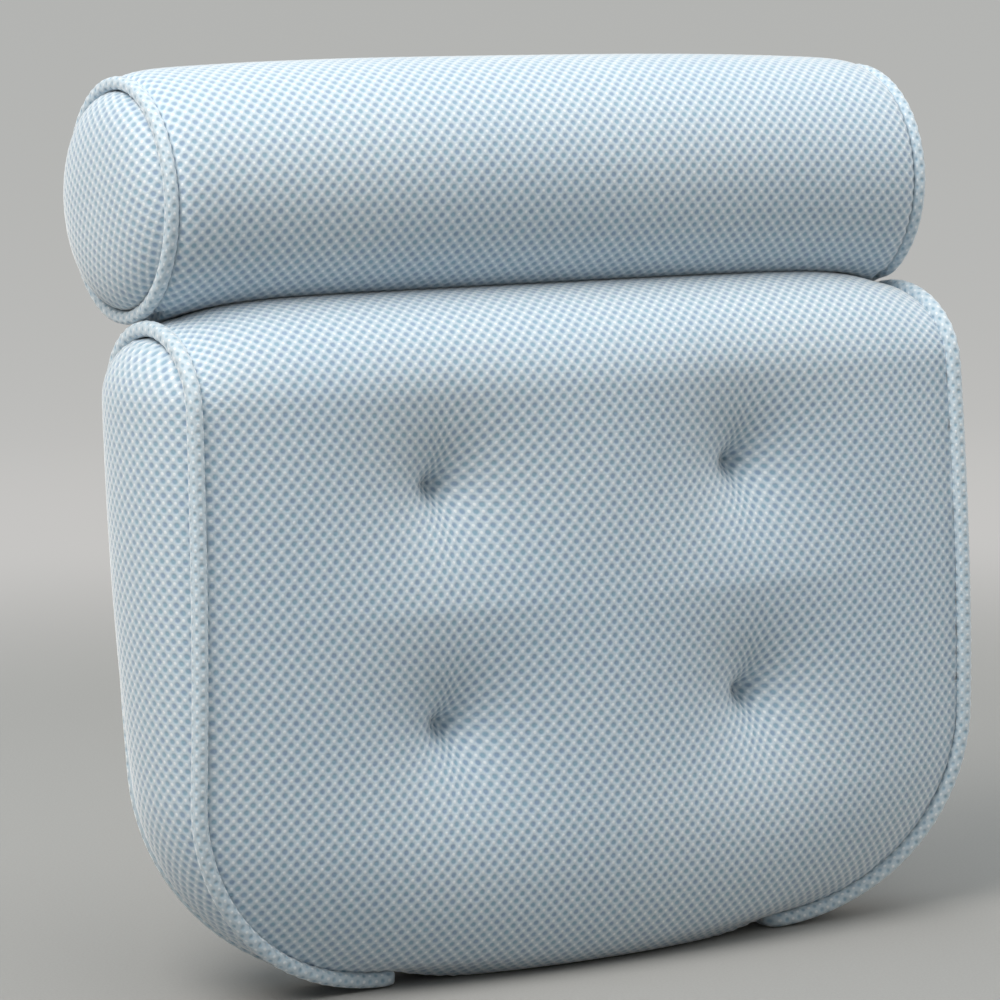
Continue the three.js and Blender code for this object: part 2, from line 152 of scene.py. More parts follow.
def add_mesh(name, points, faces):
    """A smooth mesh object from points and the faces between them."""
    data = bpy.data.meshes.new(name)
    data.from_pydata(points, [], faces)
    data.polygons.foreach_set("use_smooth", np.ones(len(faces), bool))
    return add_object(name, data)


def paper_sweep():
    """A round floor that bends up into a wall on every side."""
    turns = [step / sweep_steps * math.pi / 2 for step in range(sweep_steps + 1)]
    profile = [(sweep_floor + sweep_bend * math.sin(t), sweep_bend * (1 - math.cos(t))) for t in turns]
    profile += [(sweep_floor + sweep_bend, sweep_top)]
    angles = [step / sweep_turns * full_turn for step in range(sweep_turns)]
    points = [(radius * math.cos(a), radius * math.sin(a), z) for radius, z in profile for a in angles]
    faces = [tuple(range(sweep_turns))]
    for ring in range(len(profile) - 1):
        for step in range(sweep_turns):
            low, after = ring * sweep_turns, (step + 1) % sweep_turns
            faces.append((low + step, low + sweep_turns + step, low + sweep_turns + after, low + after))
    sheet = add_mesh("paper_sweep", points, faces)
    return sheet


def soft_lamp(name, place, size, power):
    """A round lamp that is turned towards the pillow."""
    data = bpy.data.lights.new(name, "AREA")
    data.shape = "DISK"
    data.size = size
    data.energy = power
    data.color = warm_white
    lamp = add_object(name, data)
    lamp.location = place
    lamp.rotation_euler = (lamp_aim - Vector(place)).to_track_quat("-Z", "Y").to_euler()


sweep = paper_sweep()
soft_lamp("high_left_lamp", (-1.15, -0.45, 1.7), lamp_size, power=31)
soft_lamp("right_lamp", (1.65, -0.4, 1.1), lamp_size, power=11)
soft_lamp("overhead_lamp", (0, -0.1, 2.1), wide_lamp_size, power=12)
soft_lamp("front_lamp", (0, -1.7, 1.5), lamp_size, power=3)
soft_lamp("back_lamp", (-0.3, 1.8, 1.2), lamp_size, power=9)
world = bpy.data.worlds.new("studio_world")
world.use_nodes = True
background = world.node_tree.nodes["Background"].inputs
background["Color"].default_value = sky_colour
background["Strength"].default_value = sky_strength
bpy.context.scene.world = world
bpy.context.scene.view_settings.view_transform = "Standard"
print("stage", sweep.name)

# %% [markdown]
# ## Shader sums as Python
#
# A knitted mesh is easiest to describe as a formula of the place on the cloth. This small class wraps the
# output of a shader node, so that an ordinary Python sum adds the Math nodes for it. Every other node comes
# from its one method `node`, which first sets the node's own settings and then its inputs.

# %% A socket that can be used in sums
mix_sockets = (6, 7)
mix_result = 2


def feed(node, inputs):
    """Sets a node's inputs, or links to them what changes over the surface."""
    for key, value in inputs.items():
        if isinstance(value, Socket):
            value.tree.links.new(value.output, node.inputs[key])
        else:
            node.inputs[key].default_value = value


class Socket:
    """An output of a shader node, used in sums like a number."""

    def __init__(self, tree, output=None):
        self.tree = tree
        self.output = output

    def node(self, kind, settings=None, inputs=None, result=0):
        made = self.tree.nodes.new(kind)
        for name, value in (settings or {}).items():
            setattr(made, name, value)
        feed(made, inputs or {})
        return Socket(self.tree, made.outputs[result])

    def other(self, result):
        """Another output of the same node."""
        return Socket(self.tree, self.output.node.outputs[result])

    def math(self, operation, *values):
        return self.node("ShaderNodeMath", {"operation": operation}, dict(enumerate(values)))

    def __add__(self, other):
        return self.math("ADD", self, other)

    def __sub__(self, other):
        return self.math("SUBTRACT", self, other)

    def __rsub__(self, other):
        return self.math("SUBTRACT", other, self)

    def __mul__(self, other):
        return self.math("MULTIPLY", self, other)

    def __truediv__(self, other):
        return self.math("DIVIDE", self, other)

    __radd__ = __add__
    __rmul__ = __mul__

    def step(self, low, high):
        """0 below low and 1 above high, with a soft change between them."""
        settings = {"interpolation_type": "SMOOTHSTEP"}
        return self.node("ShaderNodeMapRange", settings, {"Value": self, "From Min": low, "From Max": high})

    def mixed(self, blend, share, first, second):
        """Two colours mixed by a share, in one of the ways that the Mix node knows."""
        inputs = {"Factor": share, mix_sockets[0]: first, mix_sockets[1]: second}
        return self.node("ShaderNodeMix", {"data_type": "RGBA", "blend_type": blend}, inputs, mix_result)

    def between(self, first, second):
        """The first colour where this is 0 and the second where it is 1."""
        return self.mixed("MIX", self, first, second)

    def noise(self, scale, detail=2, roughness=0.5):
        """Soft noise at this place, with scale in lumps per metre."""
        inputs = {"Vector": self, "Scale": scale, "Detail": detail, "Roughness": roughness}
        return self.node("ShaderNodeTexNoise", None, inputs)

    def bump(self, strength, distance):
        """The surface's direction when it has this height as a fine relief."""
        inputs = {"Strength": strength, "Distance": distance, "Height": self}
        return self.node("ShaderNodeBump", None, inputs)

    def object_place(self):
        """The place on the object, in metres."""
        return self.node("ShaderNodeTexCoord", None, None, "Object")


screen_white = 255
dark_end = 0.04045
dark_slope = 12.92
curve_offset = 0.055
curve_power = 2.4


def linear(red, green, blue):
    """A colour on a screen, from 0 to 255, as the light values that a shader takes."""
    light = []
    for share in (red / screen_white, green / screen_white, blue / screen_white):
        bright = ((share + curve_offset) / (1 + curve_offset)) ** curve_power
        light.append(share / dark_slope if share < dark_end else bright)
    return light + [1]


def new_material(name):
    """A material with an empty tree but for its Principled shader, as sockets to build on."""
    material = bpy.data.materials.new(name)
    material.use_nodes = True
    tree = material.node_tree
    return material, Socket(tree), tree.nodes["Principled BSDF"]


paper_near = 0.55
painted_glow_peak = 1.25
paper_far = 3.0
paper_grain_scale = 900
paper_tones = linear(157, 155, 152), linear(161, 159, 156)
# The paper's glow is painted lighter near the pillow and darker further away, as a painted falloff of the
# lamps' light.
backdrop_painted_falloff_tones = linear(198, 197, 195), linear(177, 178, 176)
noise_middle = (0.3, 0.7)


def paper_finish():
    """Matt grey paper; from some way off the pillow the camera sees a glow instead of the lit paper, painted
    brightest near the pillow and darker further out as a painted falloff of the lamps' light.
    """
    material, start, shader = new_material("grey_paper")
    place = start.object_place()
    grain = place.noise(paper_grain_scale, detail=3, roughness=0.6)
    tone = grain.step(*noise_middle).between(*paper_tones)
    feed(shader, {"Base Color": tone, "Roughness": 0.9, "Specular IOR Level": 0.1})
    flat = place.node("ShaderNodeVectorMath", {"operation": "MULTIPLY"}, {0: place, 1: (1, 1, 0)})
    away = flat.node("ShaderNodeVectorMath", {"operation": "LENGTH"}, {0: flat}, "Value")
    # Painted falloff: the glow's tone goes from light near the pillow to darker far away.
    painted_falloff_glow = away.step(painted_glow_peak, paper_far).between(*backdrop_painted_falloff_tones)
    plain = start.node("ShaderNodeEmission", None, {"Color": painted_falloff_glow, "Strength": 1})
    camera = start.node("ShaderNodeLightPath", None, None, "Is Camera Ray")
    seen = camera + camera.other("Is Glossy Ray") + camera.other("Is Transmission Ray")
    share = away.step(paper_near, painted_glow_peak) * seen
    lit = Socket(material.node_tree, shader.outputs["BSDF"])
    both = start.node("ShaderNodeMixShader", None, {0: share, 1: lit, 2: plain})
    output = material.node_tree.nodes["Material Output"]
    material.node_tree.links.new(both.output, output.inputs["Surface"])
    return material


sweep.data.materials.append(paper_finish())
print("half grey in light values", round(linear(128, 128, 128)[0], 3))

# %% [markdown]
# ## The air mesh
#
# Air mesh is knitted in two layers with springy yarn between them. Its outer layer has round holes in
# staggered rows, and between four holes the strands meet in a shiny node. One could cut every hole into the
# mesh, but a pillow has more than twenty thousand of them. Here the holes are a formula of the cloth's own
# coordinates, which every sewn piece carries as a UV map in metres, and the pieces' points lie on the same
# lattice, so that each hole is a real small pit as well. Light is painted into the colour too: the nodes are
# painted near white as a highlight, and the holes are painted darker and bluer as the shade inside them.

# %% The lattice of the mesh and its finish
column_pitch = 0.00515
row_pitch = 0.00565
hole_radius = 0.00116
hole_soft = 0.00058
pit_depth = 0.00048
node_height = 0.00022

# The near-white node colour is a painted highlight on the nodes of the strands.
painted_node_highlight_colour = linear(247, 250, 252)
# The hole colours are painted shade: darker and bluer than the strands, as the inside of a hole lies in
# shade. Two such tones are mixed at random.
painted_hole_shade_colour = linear(126, 166, 188)
strand_and_painted_highlight_colours = linear(198, 213, 223), painted_node_highlight_colour
painted_hole_shade_colours = painted_hole_shade_colour, linear(126, 154, 186)
cord_and_painted_highlight_colours = linear(196, 212, 222), painted_node_highlight_colour
cord_painted_hole_shade_colours = linear(154, 184, 204), painted_hole_shade_colour
shade_colours = linear(246, 249, 252), linear(255, 255, 255)

cord_hole_radius = 0.0008
mesh_relief_share = 0.5
cord_relief_share = 0.6
mesh_bump = 0.0006
sway_scale = 60
sway_share = 0.12
fuzz_scale = 2600
fuzz_reach = 0.0003
patch_scale = 210
patch_middle = (0.35, 0.65)
broad_scale = 9
# How far the strands' colour goes to the painted node highlight.
painted_node_highlight_share = 0.75
# How far the holes' colour goes to their painted shade.
painted_hole_shade_share = 0.75
rim_part, node_part, fuzz_part = 0.7, 0.3, 0.12


def cloth_lattice(start):
    """The cloth's coordinates, the distance to the nearest hole, and how near a node of the strands is."""
    cloth = start.node("ShaderNodeUVMap", {"uv_map": "cloth"})
    sway = cloth.noise(sway_scale, detail=1)
    split = cloth.node("ShaderNodeSeparateXYZ", None, {"Vector": cloth})
    column = split / column_pitch + (sway - 0.5) * sway_share
    row = split.other(1) / row_pitch

    def from_hole(shift):
        across = (column + shift).math("ROUND", column + shift) - (column + shift)
        along = (row + shift).math("ROUND", row + shift) - (row + shift)
        flat = across.math("POWER", across * column_pitch, 2) + along.math("POWER", along * row_pitch, 2)
        return flat.math("SQRT", flat)

    even, odd = from_hole(0), from_hole(0.5)
    distance = even.math("MINIMUM", even, odd)
    wave = column.math("COSINE", column * full_turn) * row.math("COSINE", row * full_turn)
    return cloth, distance, 0 - wave


def mesh_finish(name, strands, holes, hole_size, relief):
    """Pale strands with nodes painted brighter as a highlight, round holes painted darker and bluer as the
    shade inside them.
    """
    material, start, shader = new_material(name)
    cloth, distance, node_share = cloth_lattice(start)
    fuzz = cloth.noise(fuzz_scale, roughness=0.6)
    edge = distance + (fuzz - 0.5) * fuzz_reach
    open_share = 1 - edge.step(hole_size - hole_soft, hole_size + hole_soft)
    # shine marks the nodes: their colour is painted paler there as a highlight, and they also get less
    # roughness and a raised relief.
    shine = node_share.step(0.5, 1.0)
    strand = (shine * painted_node_highlight_share + fuzz * (1 - painted_node_highlight_share)).between(*strands)
    # The holes are painted darker and bluer as the shade inside them, with two tones that change at random.
    hole = cloth.noise(patch_scale, detail=0).step(*patch_middle).between(*holes)
    tone = (open_share * painted_hole_shade_share).between(strand, hole)
    shade = cloth.object_place().noise(broad_scale).step(*noise_middle).between(*shade_colours)
    colour = cloth.mixed("MULTIPLY", 1, tone, shade)
    height = (1 - open_share) * rim_part + shine * node_part + fuzz * fuzz_part
    roughness = 0.62 + open_share * 0.3 - shine * 0.2
    feed(shader, {"Base Color": colour, "Roughness": roughness, "Normal": height.bump(relief, mesh_bump)})
    feed(shader, {"Sheen Weight": 0.9, "Sheen Roughness": 0.45, "Specular IOR Level": 0.4})
    return material


air_mesh = mesh_finish("air_mesh", strand_and_painted_highlight_colours, painted_hole_shade_colours, hole_radius, mesh_relief_share)
edge_cord = mesh_finish("edge_cord", cord_and_painted_highlight_colours, cord_painted_hole_shade_colours, cord_hole_radius, cord_relief_share)
print("materials", [material.name for material in bpy.data.materials])

# %% [markdown]
# ## Meshes that follow the lattice
#
# A sewn piece is a flat piece of mesh cloth, laid over the padding and cut off at its seams. Its model is a
# grid whose points lie on the lattice: every other point is a hole, and the ones between are nodes of the
# strands. Where a row of the cloth runs past a seam, its last points gather on the seam, and the faces that
# lose their width there are left out. The edges of the faces run from node to node, as the strands do.

# %% A mesh from rows of places
weld = 2e-7
column_step = column_pitch / 2
row_step = row_pitch / 2


def mix(first, second, share):
    """The first value at share 0 and the second at share 1."""
    return first + (second - first) * share


def unit(vectors):
    """Directions of length one; one without a length stays zero."""
    length = np.linalg.norm(vectors, axis=-1, keepdims=True)
    return vectors / np.maximum(length, weld)


def grid_normals(places, is_closed):
    """The direction out of the cloth at each point of a grid of rows and columns."""
    across = np.gradient(places, axis=1)
    if is_closed:
        along = (np.roll(places, -1, 0) - np.roll(places, 1, 0)) / 2
    else:
        along = np.gradient(places, axis=0)
    return unit(np.cross(across, along))


def lattice_relief(columns, rows):
    """1 at a hole and -1 at a node, for places on the cloth in metres."""
    return np.cos(columns * full_turn / column_pitch) * np.cos(rows * full_turn / row_pitch)


def joined_points(places):
    """Which places of a grid to keep when equal ones are joined, and the kept point at each place."""
    steps = np.round(places.reshape(-1, 3) / weld).astype(np.int64)
    _, kept, joined = np.unique(steps, axis=0, return_index=True, return_inverse=True)
    return kept, joined.reshape(places.shape[:2])


def cloth_faces(places, cloth, is_closed):
    """Triangles as rows and columns of the grid's points, split along the strands."""
    rows, columns = places.shape[:2]
    last = rows if is_closed else rows - 1
    row, column = np.meshgrid(np.arange(last), np.arange(columns - 1), indexing="ij")
    a, b = np.stack([row, column], -1), np.stack([row, column + 1], -1)
    c, d = np.stack([row + 1, column + 1], -1), np.stack([row + 1, column], -1)
    is_hole = (lattice_relief(*np.moveaxis(cloth[row, column], -1, 0)) > 0)[..., None, None]
    first = np.where(is_hole, np.stack([a, b, d], -2), np.stack([a, b, c], -2))
    second = np.where(is_hole, np.stack([b, c, d], -2), np.stack([a, c, d], -2))
    return np.concatenate([first.reshape(-1, 3, 2), second.reshape(-1, 3, 2)])


def cloth_mesh(name, places, cloth, is_closed=False):
    """A mesh object from a grid of places and the cloth coordinates of its points."""
    kept, joined = joined_points(places)
    faces = cloth_faces(places, cloth, is_closed)
    corners = joined[faces[..., 0] % len(places), faces[..., 1]]
    has_width = (corners[:, 0] != corners[:, 1]) & (corners[:, 1] != corners[:, 2])
    has_width &= corners[:, 0] != corners[:, 2]
    corners, faces = corners[has_width], faces[has_width]
    made = add_mesh(name, places.reshape(-1, 3)[kept], corners)
    layer = made.data.uv_layers.new(name="cloth")
    layer.uv.foreach_set("vector", cloth[faces[..., 0], faces[..., 1]].astype(np.float32).ravel())
    made.data.validate()
    return made


def arc_lengths(places):
    """How far along each row its points lie, measured on the surface."""
    steps = np.linalg.norm(np.diff(places, axis=-2), axis=-1)
    return np.concatenate([np.zeros(steps.shape[:-1] + (1,)), np.cumsum(steps, axis=-1)], -1)


print("a hole every", round(math.hypot(column_step, row_step) * mm_per_metre, 2), "mm")

# %% [markdown]
# ## The cushion's shape
#
# These are the cushion's own measures, the same that its solid has. The surface is a formula of two
# numbers: how far across it a point lies, from seam to seam, and where on the loop over front, top, back
# and foot.

# %% Measures of the cushion
cushion_width = 0.351
cushion_height = 0.272
shoulder_height = 0.240
hip_spread = 0.0055
corner_height = 0.090
foot_width = 0.185
foot_lift = 0.0065
top_corner_radius = 0.003
seam_droop = 0.0033
top_crown = 0.0103
top_crown_power = 9
lean_angle = math.radians(4.5)
side_panel_width = 0.076
side_panel_tab = 0.006
front_crown = 0.008
back_crown = 0.005
foot_depth_front = 0.012
foot_depth_back = 0.035
belly_height = 0.070
side_panel_swell = 0.0148
bulge_power = 1.6
sewn_gap = 0.0003
cover_wall = 0.004

foot_flat_share = 0.5
foot_swell_share = 1.6
body_swell_share = 0.67
leaf_share = 0.6
swell_power = 2.4

roll_width = 0.347
roll_depth = 0.105
roll_height = 0.102
roll_set_back = 0.025
roll_sink = 0.0015
roll_end_draw = 0.005
roll_draw_power = 46
roll_overhang = 0.0014
overhang_share = 0.955
roll_end_droop = 0.0040
roll_tilt = 0.0008
roll_end_swell = 0.0130

piping_radius = 0.00275
piping_tilt = math.radians(12)

roll_level = cushion_height + roll_height / 2 - roll_sink
roll_low, roll_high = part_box("roll_cover")
depth_shift = (roll_low.y + roll_high.y) / 2 - roll_level * math.tan(lean_angle) - roll_set_back
print("the frame's depth begins", round(depth_shift, 5), "m before the cushion's own")


# %% The cushion's surface
def quarter_round(share):
    """From 0 to 1 as a quarter of a circle rises: steep at first and level at the end."""
    return np.sqrt(1 - (1 - np.clip(share, 0, 1)) ** 2)


def lean_at(height):
    """How far back the cushion's middle lies at a height, because the cushion leans."""
    return height * math.tan(lean_angle) + depth_shift


def outline_half(height):
    """Half the cushion's width between its side seams."""
    side = cushion_width / 2 + hip_spread * (1 - height / shoulder_height)
    inward = np.clip((corner_height - height) / (corner_height - foot_lift), 0, 1)
    top_turn = np.clip((height - cushion_height) / top_corner_radius + 1, 0, 1)
    top_draw = top_corner_radius * (1 - np.sqrt(1 - top_turn**2))
    return mix(foot_width / 2, side, np.sqrt(1 - inward**2)) - top_draw


def side_panel_half(height):
    """Half the depth of a side panel between its front and its back seam."""
    growth = np.sin(np.clip(height / shoulder_height, 0, 1) ** leaf_share * math.pi / 2)
    return mix(side_panel_tab / 2, side_panel_width / 2, growth)


def top_height(across):
    """The cushion's top is highest in the middle and lower towards the side seams."""
    return cushion_height - seam_droop + top_crown * (1 - np.abs(across) ** top_crown_power)


def padding_halves(across, height):
    """Depth of the padding before and behind the cushion's middle, without its tufts."""
    belly = quarter_round(height / belly_height)
    swell = (1 - np.abs(across) ** swell_power) ** mix(foot_swell_share, body_swell_share, belly)
    halves = []
    for foot_depth, crown in ((foot_depth_front, front_crown), (foot_depth_back, back_crown)):
        at_middle = mix(foot_depth, side_panel_width / 2 + crown, belly)
        halves.append(mix(side_panel_half(height), at_middle, swell))
    return halves


def cushion_place(across, line):
    """Places on the cushion; a line holds a height, a turn over the top, and 1 in front or 0 behind."""
    height, turn, front_share = line
    level = np.where(turn > 0, mix(shoulder_height, top_height(across), np.sin(turn)), height)
    front, back = padding_halves(across, height)
    depth = mix(back, -front, front_share) * np.cos(turn)
    lift = foot_lift * np.clip((np.abs(across) - foot_flat_share) / (1 - foot_flat_share), 0, 1) ** 2
    z = np.maximum(level, lift)
    x = across * outline_half(np.maximum(level, foot_lift))
    x, y, z = np.broadcast_arrays(x, lean_at(z) + depth, z)
    return np.stack([x, y, z], -1)


def loop_lines(steps=400):
    """Closely spaced lines round the cushion: up the front, over the top, down the back, along the foot."""
    rising = np.linspace(0, 1, steps) ** 2
    over = np.linspace(0, math.pi / 2, steps)
    still = np.ones(steps)
    front_up = (shoulder_height * rising, 0 * still, still)
    front_over = (shoulder_height * still, over, still)
    back_over = (shoulder_height * still, over[::-1], 0 * still)
    back_down = (shoulder_height * rising[::-1], 0 * still, 0 * still)
    foot = (0 * still, 0 * still, np.linspace(0, 1, steps))
    parts = (front_up, front_over, back_over, back_down, foot)
    return [np.concatenate([part[k] for part in parts]) for k in range(3)]


def even_lines(lines, lengths, places_along):
    """The lines at these lengths round the loop."""
    return [np.interp(places_along, lengths, values) for values in lines]


def as_columns(lines):
    """The lines as columns, with one value for each row of a grid."""
    return [values[:, None] for values in lines]


def front_and_back(lines):
    """Which lines lie in front and which behind."""
    return lines[2] > 0.5, lines[2] < 0.5


cushion_loop = loop_lines()
middle_loop = cushion_place(np.zeros(len(cushion_loop[0])), cushion_loop)
print("once round the cushion", round(arc_lengths(middle_loop)[-1], 4), "m")

# %% [markdown]
# ## Tufts
#
# At a tuft, a thread draws the front and the back of the cushion together. The cloth goes down into a pit
# that is steep in the middle and fades over some centimetres. The knit gives sideways far more than
# lengthways, so its columns close up towards the pit, above it and below it, and its holes become narrow
# there.

# %% The pits of the tufts
tuft_heights = (0.107, 0.203)
tuft_spacing = 0.141
front_tuft_depths = (0.0205, 0.0150)
back_tuft_depths = (0.0105, 0.0070)
tuft_reaches = (0.0240, 0.0045)
tuft_blunt = 0.0026
pull_share = 0.56
pull_row_share = 0.2
pull_reaches = (0.012, 0.026)

tuft_share = tuft_spacing / 2 / outline_half(shoulder_height)


def tuft_middles():
    """Where the four ties run, across and up."""
    return [(side * tuft_share * outline_half(height), height)
            for height in tuft_heights for side in (-1, 1)]


def pulled(columns, rows, marks):
    """Cloth coordinates moved towards the tufts, more across than along."""
    moved_column, moved_row = columns.copy(), rows.copy()
    for column, row in marks:
        across, along = (columns - column) * row_step, (rows - row) * row_step
        share = pull_share * np.exp(-(along / pull_reaches[1]) ** 2) / (1 + (across / pull_reaches[0]) ** 2)
        moved_column -= (columns - column) * share
        moved_row -= (rows - row) * share * pull_row_share
    return moved_column, moved_row


def sampled(places, columns, rows, is_closed):
    """Places between a grid's points, for fractional columns and rows."""
    low_row = np.floor(rows).astype(int)
    low_column = np.clip(np.floor(columns).astype(int), 0, places.shape[1] - 2)
    row_part = (rows - low_row)[..., None]
    column_part = (columns - low_column)[..., None]
    count = places.shape[0]

    def at(row, column):
        return places[row % count if is_closed else np.clip(row, 0, count - 1), column]

    near = mix(at(low_row, low_column), at(low_row, low_column + 1), column_part)
    far = mix(at(low_row + 1, low_column), at(low_row + 1, low_column + 1), column_part)
    return mix(near, far, row_part)


def dimple(places, depths):
    """How deep each place lies in a pit."""
    depth = np.zeros(places.shape[:-1])
    for x, z in tuft_middles():
        away = np.sqrt((places[..., 0] - x) ** 2 + (places[..., 2] - z) ** 2 + tuft_blunt**2)
        pit = sum(part * np.exp(-away / reach) for part, reach in zip(depths, tuft_reaches))
        depth = np.maximum(depth, pit)
    return depth


print("tufts at", [(round(x, 4), z) for x, z in tuft_middles()])

# %% [markdown]
# ## Let the cloth settle
#
# A formula gives a shape that is too regular. On the real pillow the filling presses from inside, and the
# cloth finds its own way between the seams and the tufts. So the laid-out cloth goes through a short cloth
# simulation: it starts drawn in by the tufts but remembers its flat lengths, its seams and pits are held,
# and a little pressure fills it. Every second point takes part, no point may move far, and the movement is
# then spread over the fine grid.

# %% A short simulation of a cover
settle_frames = 20
settle_every = 2
settle_pressure = 3.0
settle_cap = 0.005
cloth_mass = 0.15


def settling_cloth(flat, drawn, held):
    """A cloth object that lies as drawn, keeps the lengths of flat, and is held where told."""
    kept, joined = joined_points(flat)
    row, column = np.meshgrid(np.arange(len(flat)), np.arange(flat.shape[1] - 1), indexing="ij")
    after = (row + 1) % len(flat)
    corners = [joined[row, column], joined[row, column + 1],
               joined[after, column + 1], joined[after, column]]
    quads = np.stack(corners, -1).reshape(-1, 4)
    faces = [list(dict.fromkeys(quad)) for quad in quads.tolist()]
    cloth = add_mesh("settling", flat.reshape(-1, 3)[kept], [face for face in faces if len(face) > 2])
    cloth.shape_key_add(name="flat")
    key = cloth.shape_key_add(name="drawn")
    key.data.foreach_set("co", drawn.reshape(-1, 3)[kept].astype(np.float32).ravel())
    key.value = 1
    group = cloth.vertex_groups.new(name="held")
    for index, amount in enumerate(held.reshape(-1)[kept].tolist()):
        group.add([index], amount, "REPLACE")
    return cloth, joined


def settled(flat, drawn, held):
    """The way and distance that each place moves when the cloth settles."""
    cloth, joined = settling_cloth(flat, drawn, held)
    modifier = cloth.modifiers.new("Cloth", "CLOTH")
    wanted = {"quality": 6, "mass": cloth_mass, "tension_stiffness": 15, "compression_stiffness": 12,
              "shear_stiffness": 6, "bending_stiffness": 3, "air_damping": 2, "use_pressure": True,
              "uniform_pressure_force": settle_pressure, "vertex_group_mass": "held"}
    for name, value in wanted.items():
        setattr(modifier.settings, name, value)
    modifier.settings.effector_weights.gravity = 0
    modifier.settings.rest_shape_key = cloth.data.shape_keys.key_blocks["flat"]
    modifier.collision_settings.use_collision = False
    modifier.point_cache.frame_end = settle_frames
    for frame_number in range(1, settle_frames + 1):
        bpy.context.scene.frame_set(frame_number)
    ready = cloth.evaluated_get(bpy.context.evaluated_depsgraph_get())
    places = np.empty(len(ready.data.vertices) * 3, np.float32)
    ready.data.vertices.foreach_get("co", places)
    moved = places.reshape(-1, 3)[joined] - drawn
    bpy.data.objects.remove(cloth)
    bpy.context.scene.frame_set(1)
    length = np.linalg.norm(moved, axis=-1, keepdims=True)
    return moved * np.minimum(1, settle_cap / np.maximum(length, weld))


def settle(flat, drawn, held):
    """The drawn places after settling, worked out on every second row and column."""
    few = (slice(None, None, settle_every), slice(None, None, settle_every))
    moved = settled(flat[few], drawn[few], held[few])
    column, row = np.meshgrid(np.arange(drawn.shape[1]), np.arange(drawn.shape[0]))
    spread = sampled(moved, column / settle_every, row / settle_every, True) * (1 - held)[..., None]
    furthest = float(np.linalg.norm(spread, axis=-1).max())
    print("settled, at most", round(furthest * mm_per_metre, 1), "mm")
    return drawn + spread


# %% [markdown]
# ## The cushion's cover
#
# One cloth runs up the front, over the top, down the back and under the foot. Its points are set out by
# lengths on the surface, as a flat cloth lies when it is smoothed over padding.

# %% Lay the cloth over the cushion
tuck_reach = 0.0026
row_samples = 240
cloth_spare_share = 1.1


def cloth_rows(lines, surface, count):
    """For each row: where its columns lie across the surface, where they lie on the cloth, and how far the
    cloth reaches from the middle to the seam."""
    samples = np.sin(np.linspace(0, math.pi / 2, row_samples))
    placed = surface(samples[None, :], as_columns(lines))
    reach = arc_lengths(placed)
    columns = np.arange(-count, count + 1) * column_step
    across = np.stack([np.interp(np.abs(columns), row, samples) for row in reach]) * np.sign(columns)
    cloth_columns = np.clip(columns[None, :], -reach[:, -1:], reach[:, -1:])
    return across, cloth_columns, reach[:, -1]


def wrap_cover(lines, surface, widest):
    """Even rows of cloth round a closed loop: their places, cloth coordinates, reaches and lines."""
    middle = arc_lengths(surface(np.zeros(len(lines[0])), lines))
    count = 4 * round(middle[-1] / row_pitch / 2)
    lengths = np.arange(count) * middle[-1] / count
    rows = even_lines(lines, middle, lengths)
    across, columns, reach = cloth_rows(rows, surface, 2 * math.ceil(widest / column_pitch))
    places = surface(across, as_columns(rows))
    along = np.arange(count + 1)[:, None] * row_step + 0 * columns[:1]
    columns = np.concatenate([columns, columns[:1]])
    return places, np.stack([columns, along], -1), reach, rows


def relief_heights(cloth):
    """How far the cloth is pressed in at its holes and raised at its nodes."""
    relief = lattice_relief(cloth[..., 0], cloth[..., 1])
    return np.where(relief > 0, -pit_depth * relief, -node_height * relief)


def raised(places, cloth, reach, is_closed):
    """The same places with each hole pressed in and each node raised, but not along the seams."""
    cloth = cloth[:len(places)]
    inside = np.clip((reach[:, None] - np.abs(cloth[..., 0])) / column_step, 0, 1)
    return places + grid_normals(places, is_closed) * (relief_heights(cloth) * inside)[..., None]


def show(piece, body, material, slot, *nodes):
    """Gives a piece its material, and says what it rides on and stands for."""
    piece.data.materials.append(material)
    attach(piece, body)
    if nodes:
        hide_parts(*nodes)


def panel_out(side, height):
    """The direction out of a side panel at a height of its outline."""
    low = np.clip(height - sewn_gap, foot_lift, shoulder_height - 2 * sewn_gap)
    rise = outline_half(low + 2 * sewn_gap) - outline_half(low)
    length = np.hypot(rise, 2 * sewn_gap)
    return np.stack([side * 2 * sewn_gap / length, 0 * rise, -rise / length], -1)


def tucked(places, cloth, out):
    """One more column past each seam, which goes in under the piping."""
    ends = []
    for side, column in ((-1, 0), (1, -1)):
        corner = places[:, column]
        ends.append((corner + out(side, corner[:, 2]) * tuck_reach)[:, None])
    marks = [cloth[:, :1] - [tuck_reach, 0], cloth[:, -1:] + [tuck_reach, 0]]
    return np.concatenate([ends[0], places, ends[1]], 1), np.concatenate([marks[0], cloth, marks[1]], 1)


def tuft_marks(places, rows):
    """Which column and row of the cloth each tuft draws in, in front and behind."""
    heights = places[:, places.shape[1] // 2, 2]
    marks = []
    for x, z in tuft_middles():
        for is_side in front_and_back(rows):
            row = np.flatnonzero(is_side)[np.argmin(np.abs(heights[is_side] - z))]
            marks.append((np.interp(x, places[row, :, 0], np.arange(places.shape[1])), row))
    return marks


def drawn_in(places, cloth, reach, rows):
    """The cloth pulled towards the tufts and down into their pits."""
    count, columns = places.shape[:2]
    scale = column_step / row_step
    column, row = np.meshgrid(np.arange(columns, dtype=float), np.arange(count, dtype=float))
    marks = [(mark_column * scale, mark_row) for mark_column, mark_row in tuft_marks(places, rows)]
    moved_column, moved_row = pulled(column * scale, row, marks)
    is_free = np.abs(cloth[:count, :, 0]) < reach[:, None]
    placed = sampled(places, np.where(is_free, moved_column / scale, column), moved_row, True)
    in_front, behind = front_and_back(rows)
    placed[..., 1] += dimple(placed, front_tuft_depths) * in_front[:, None]
    placed[..., 1] -= dimple(placed, back_tuft_depths) * behind[:, None]
    return placed


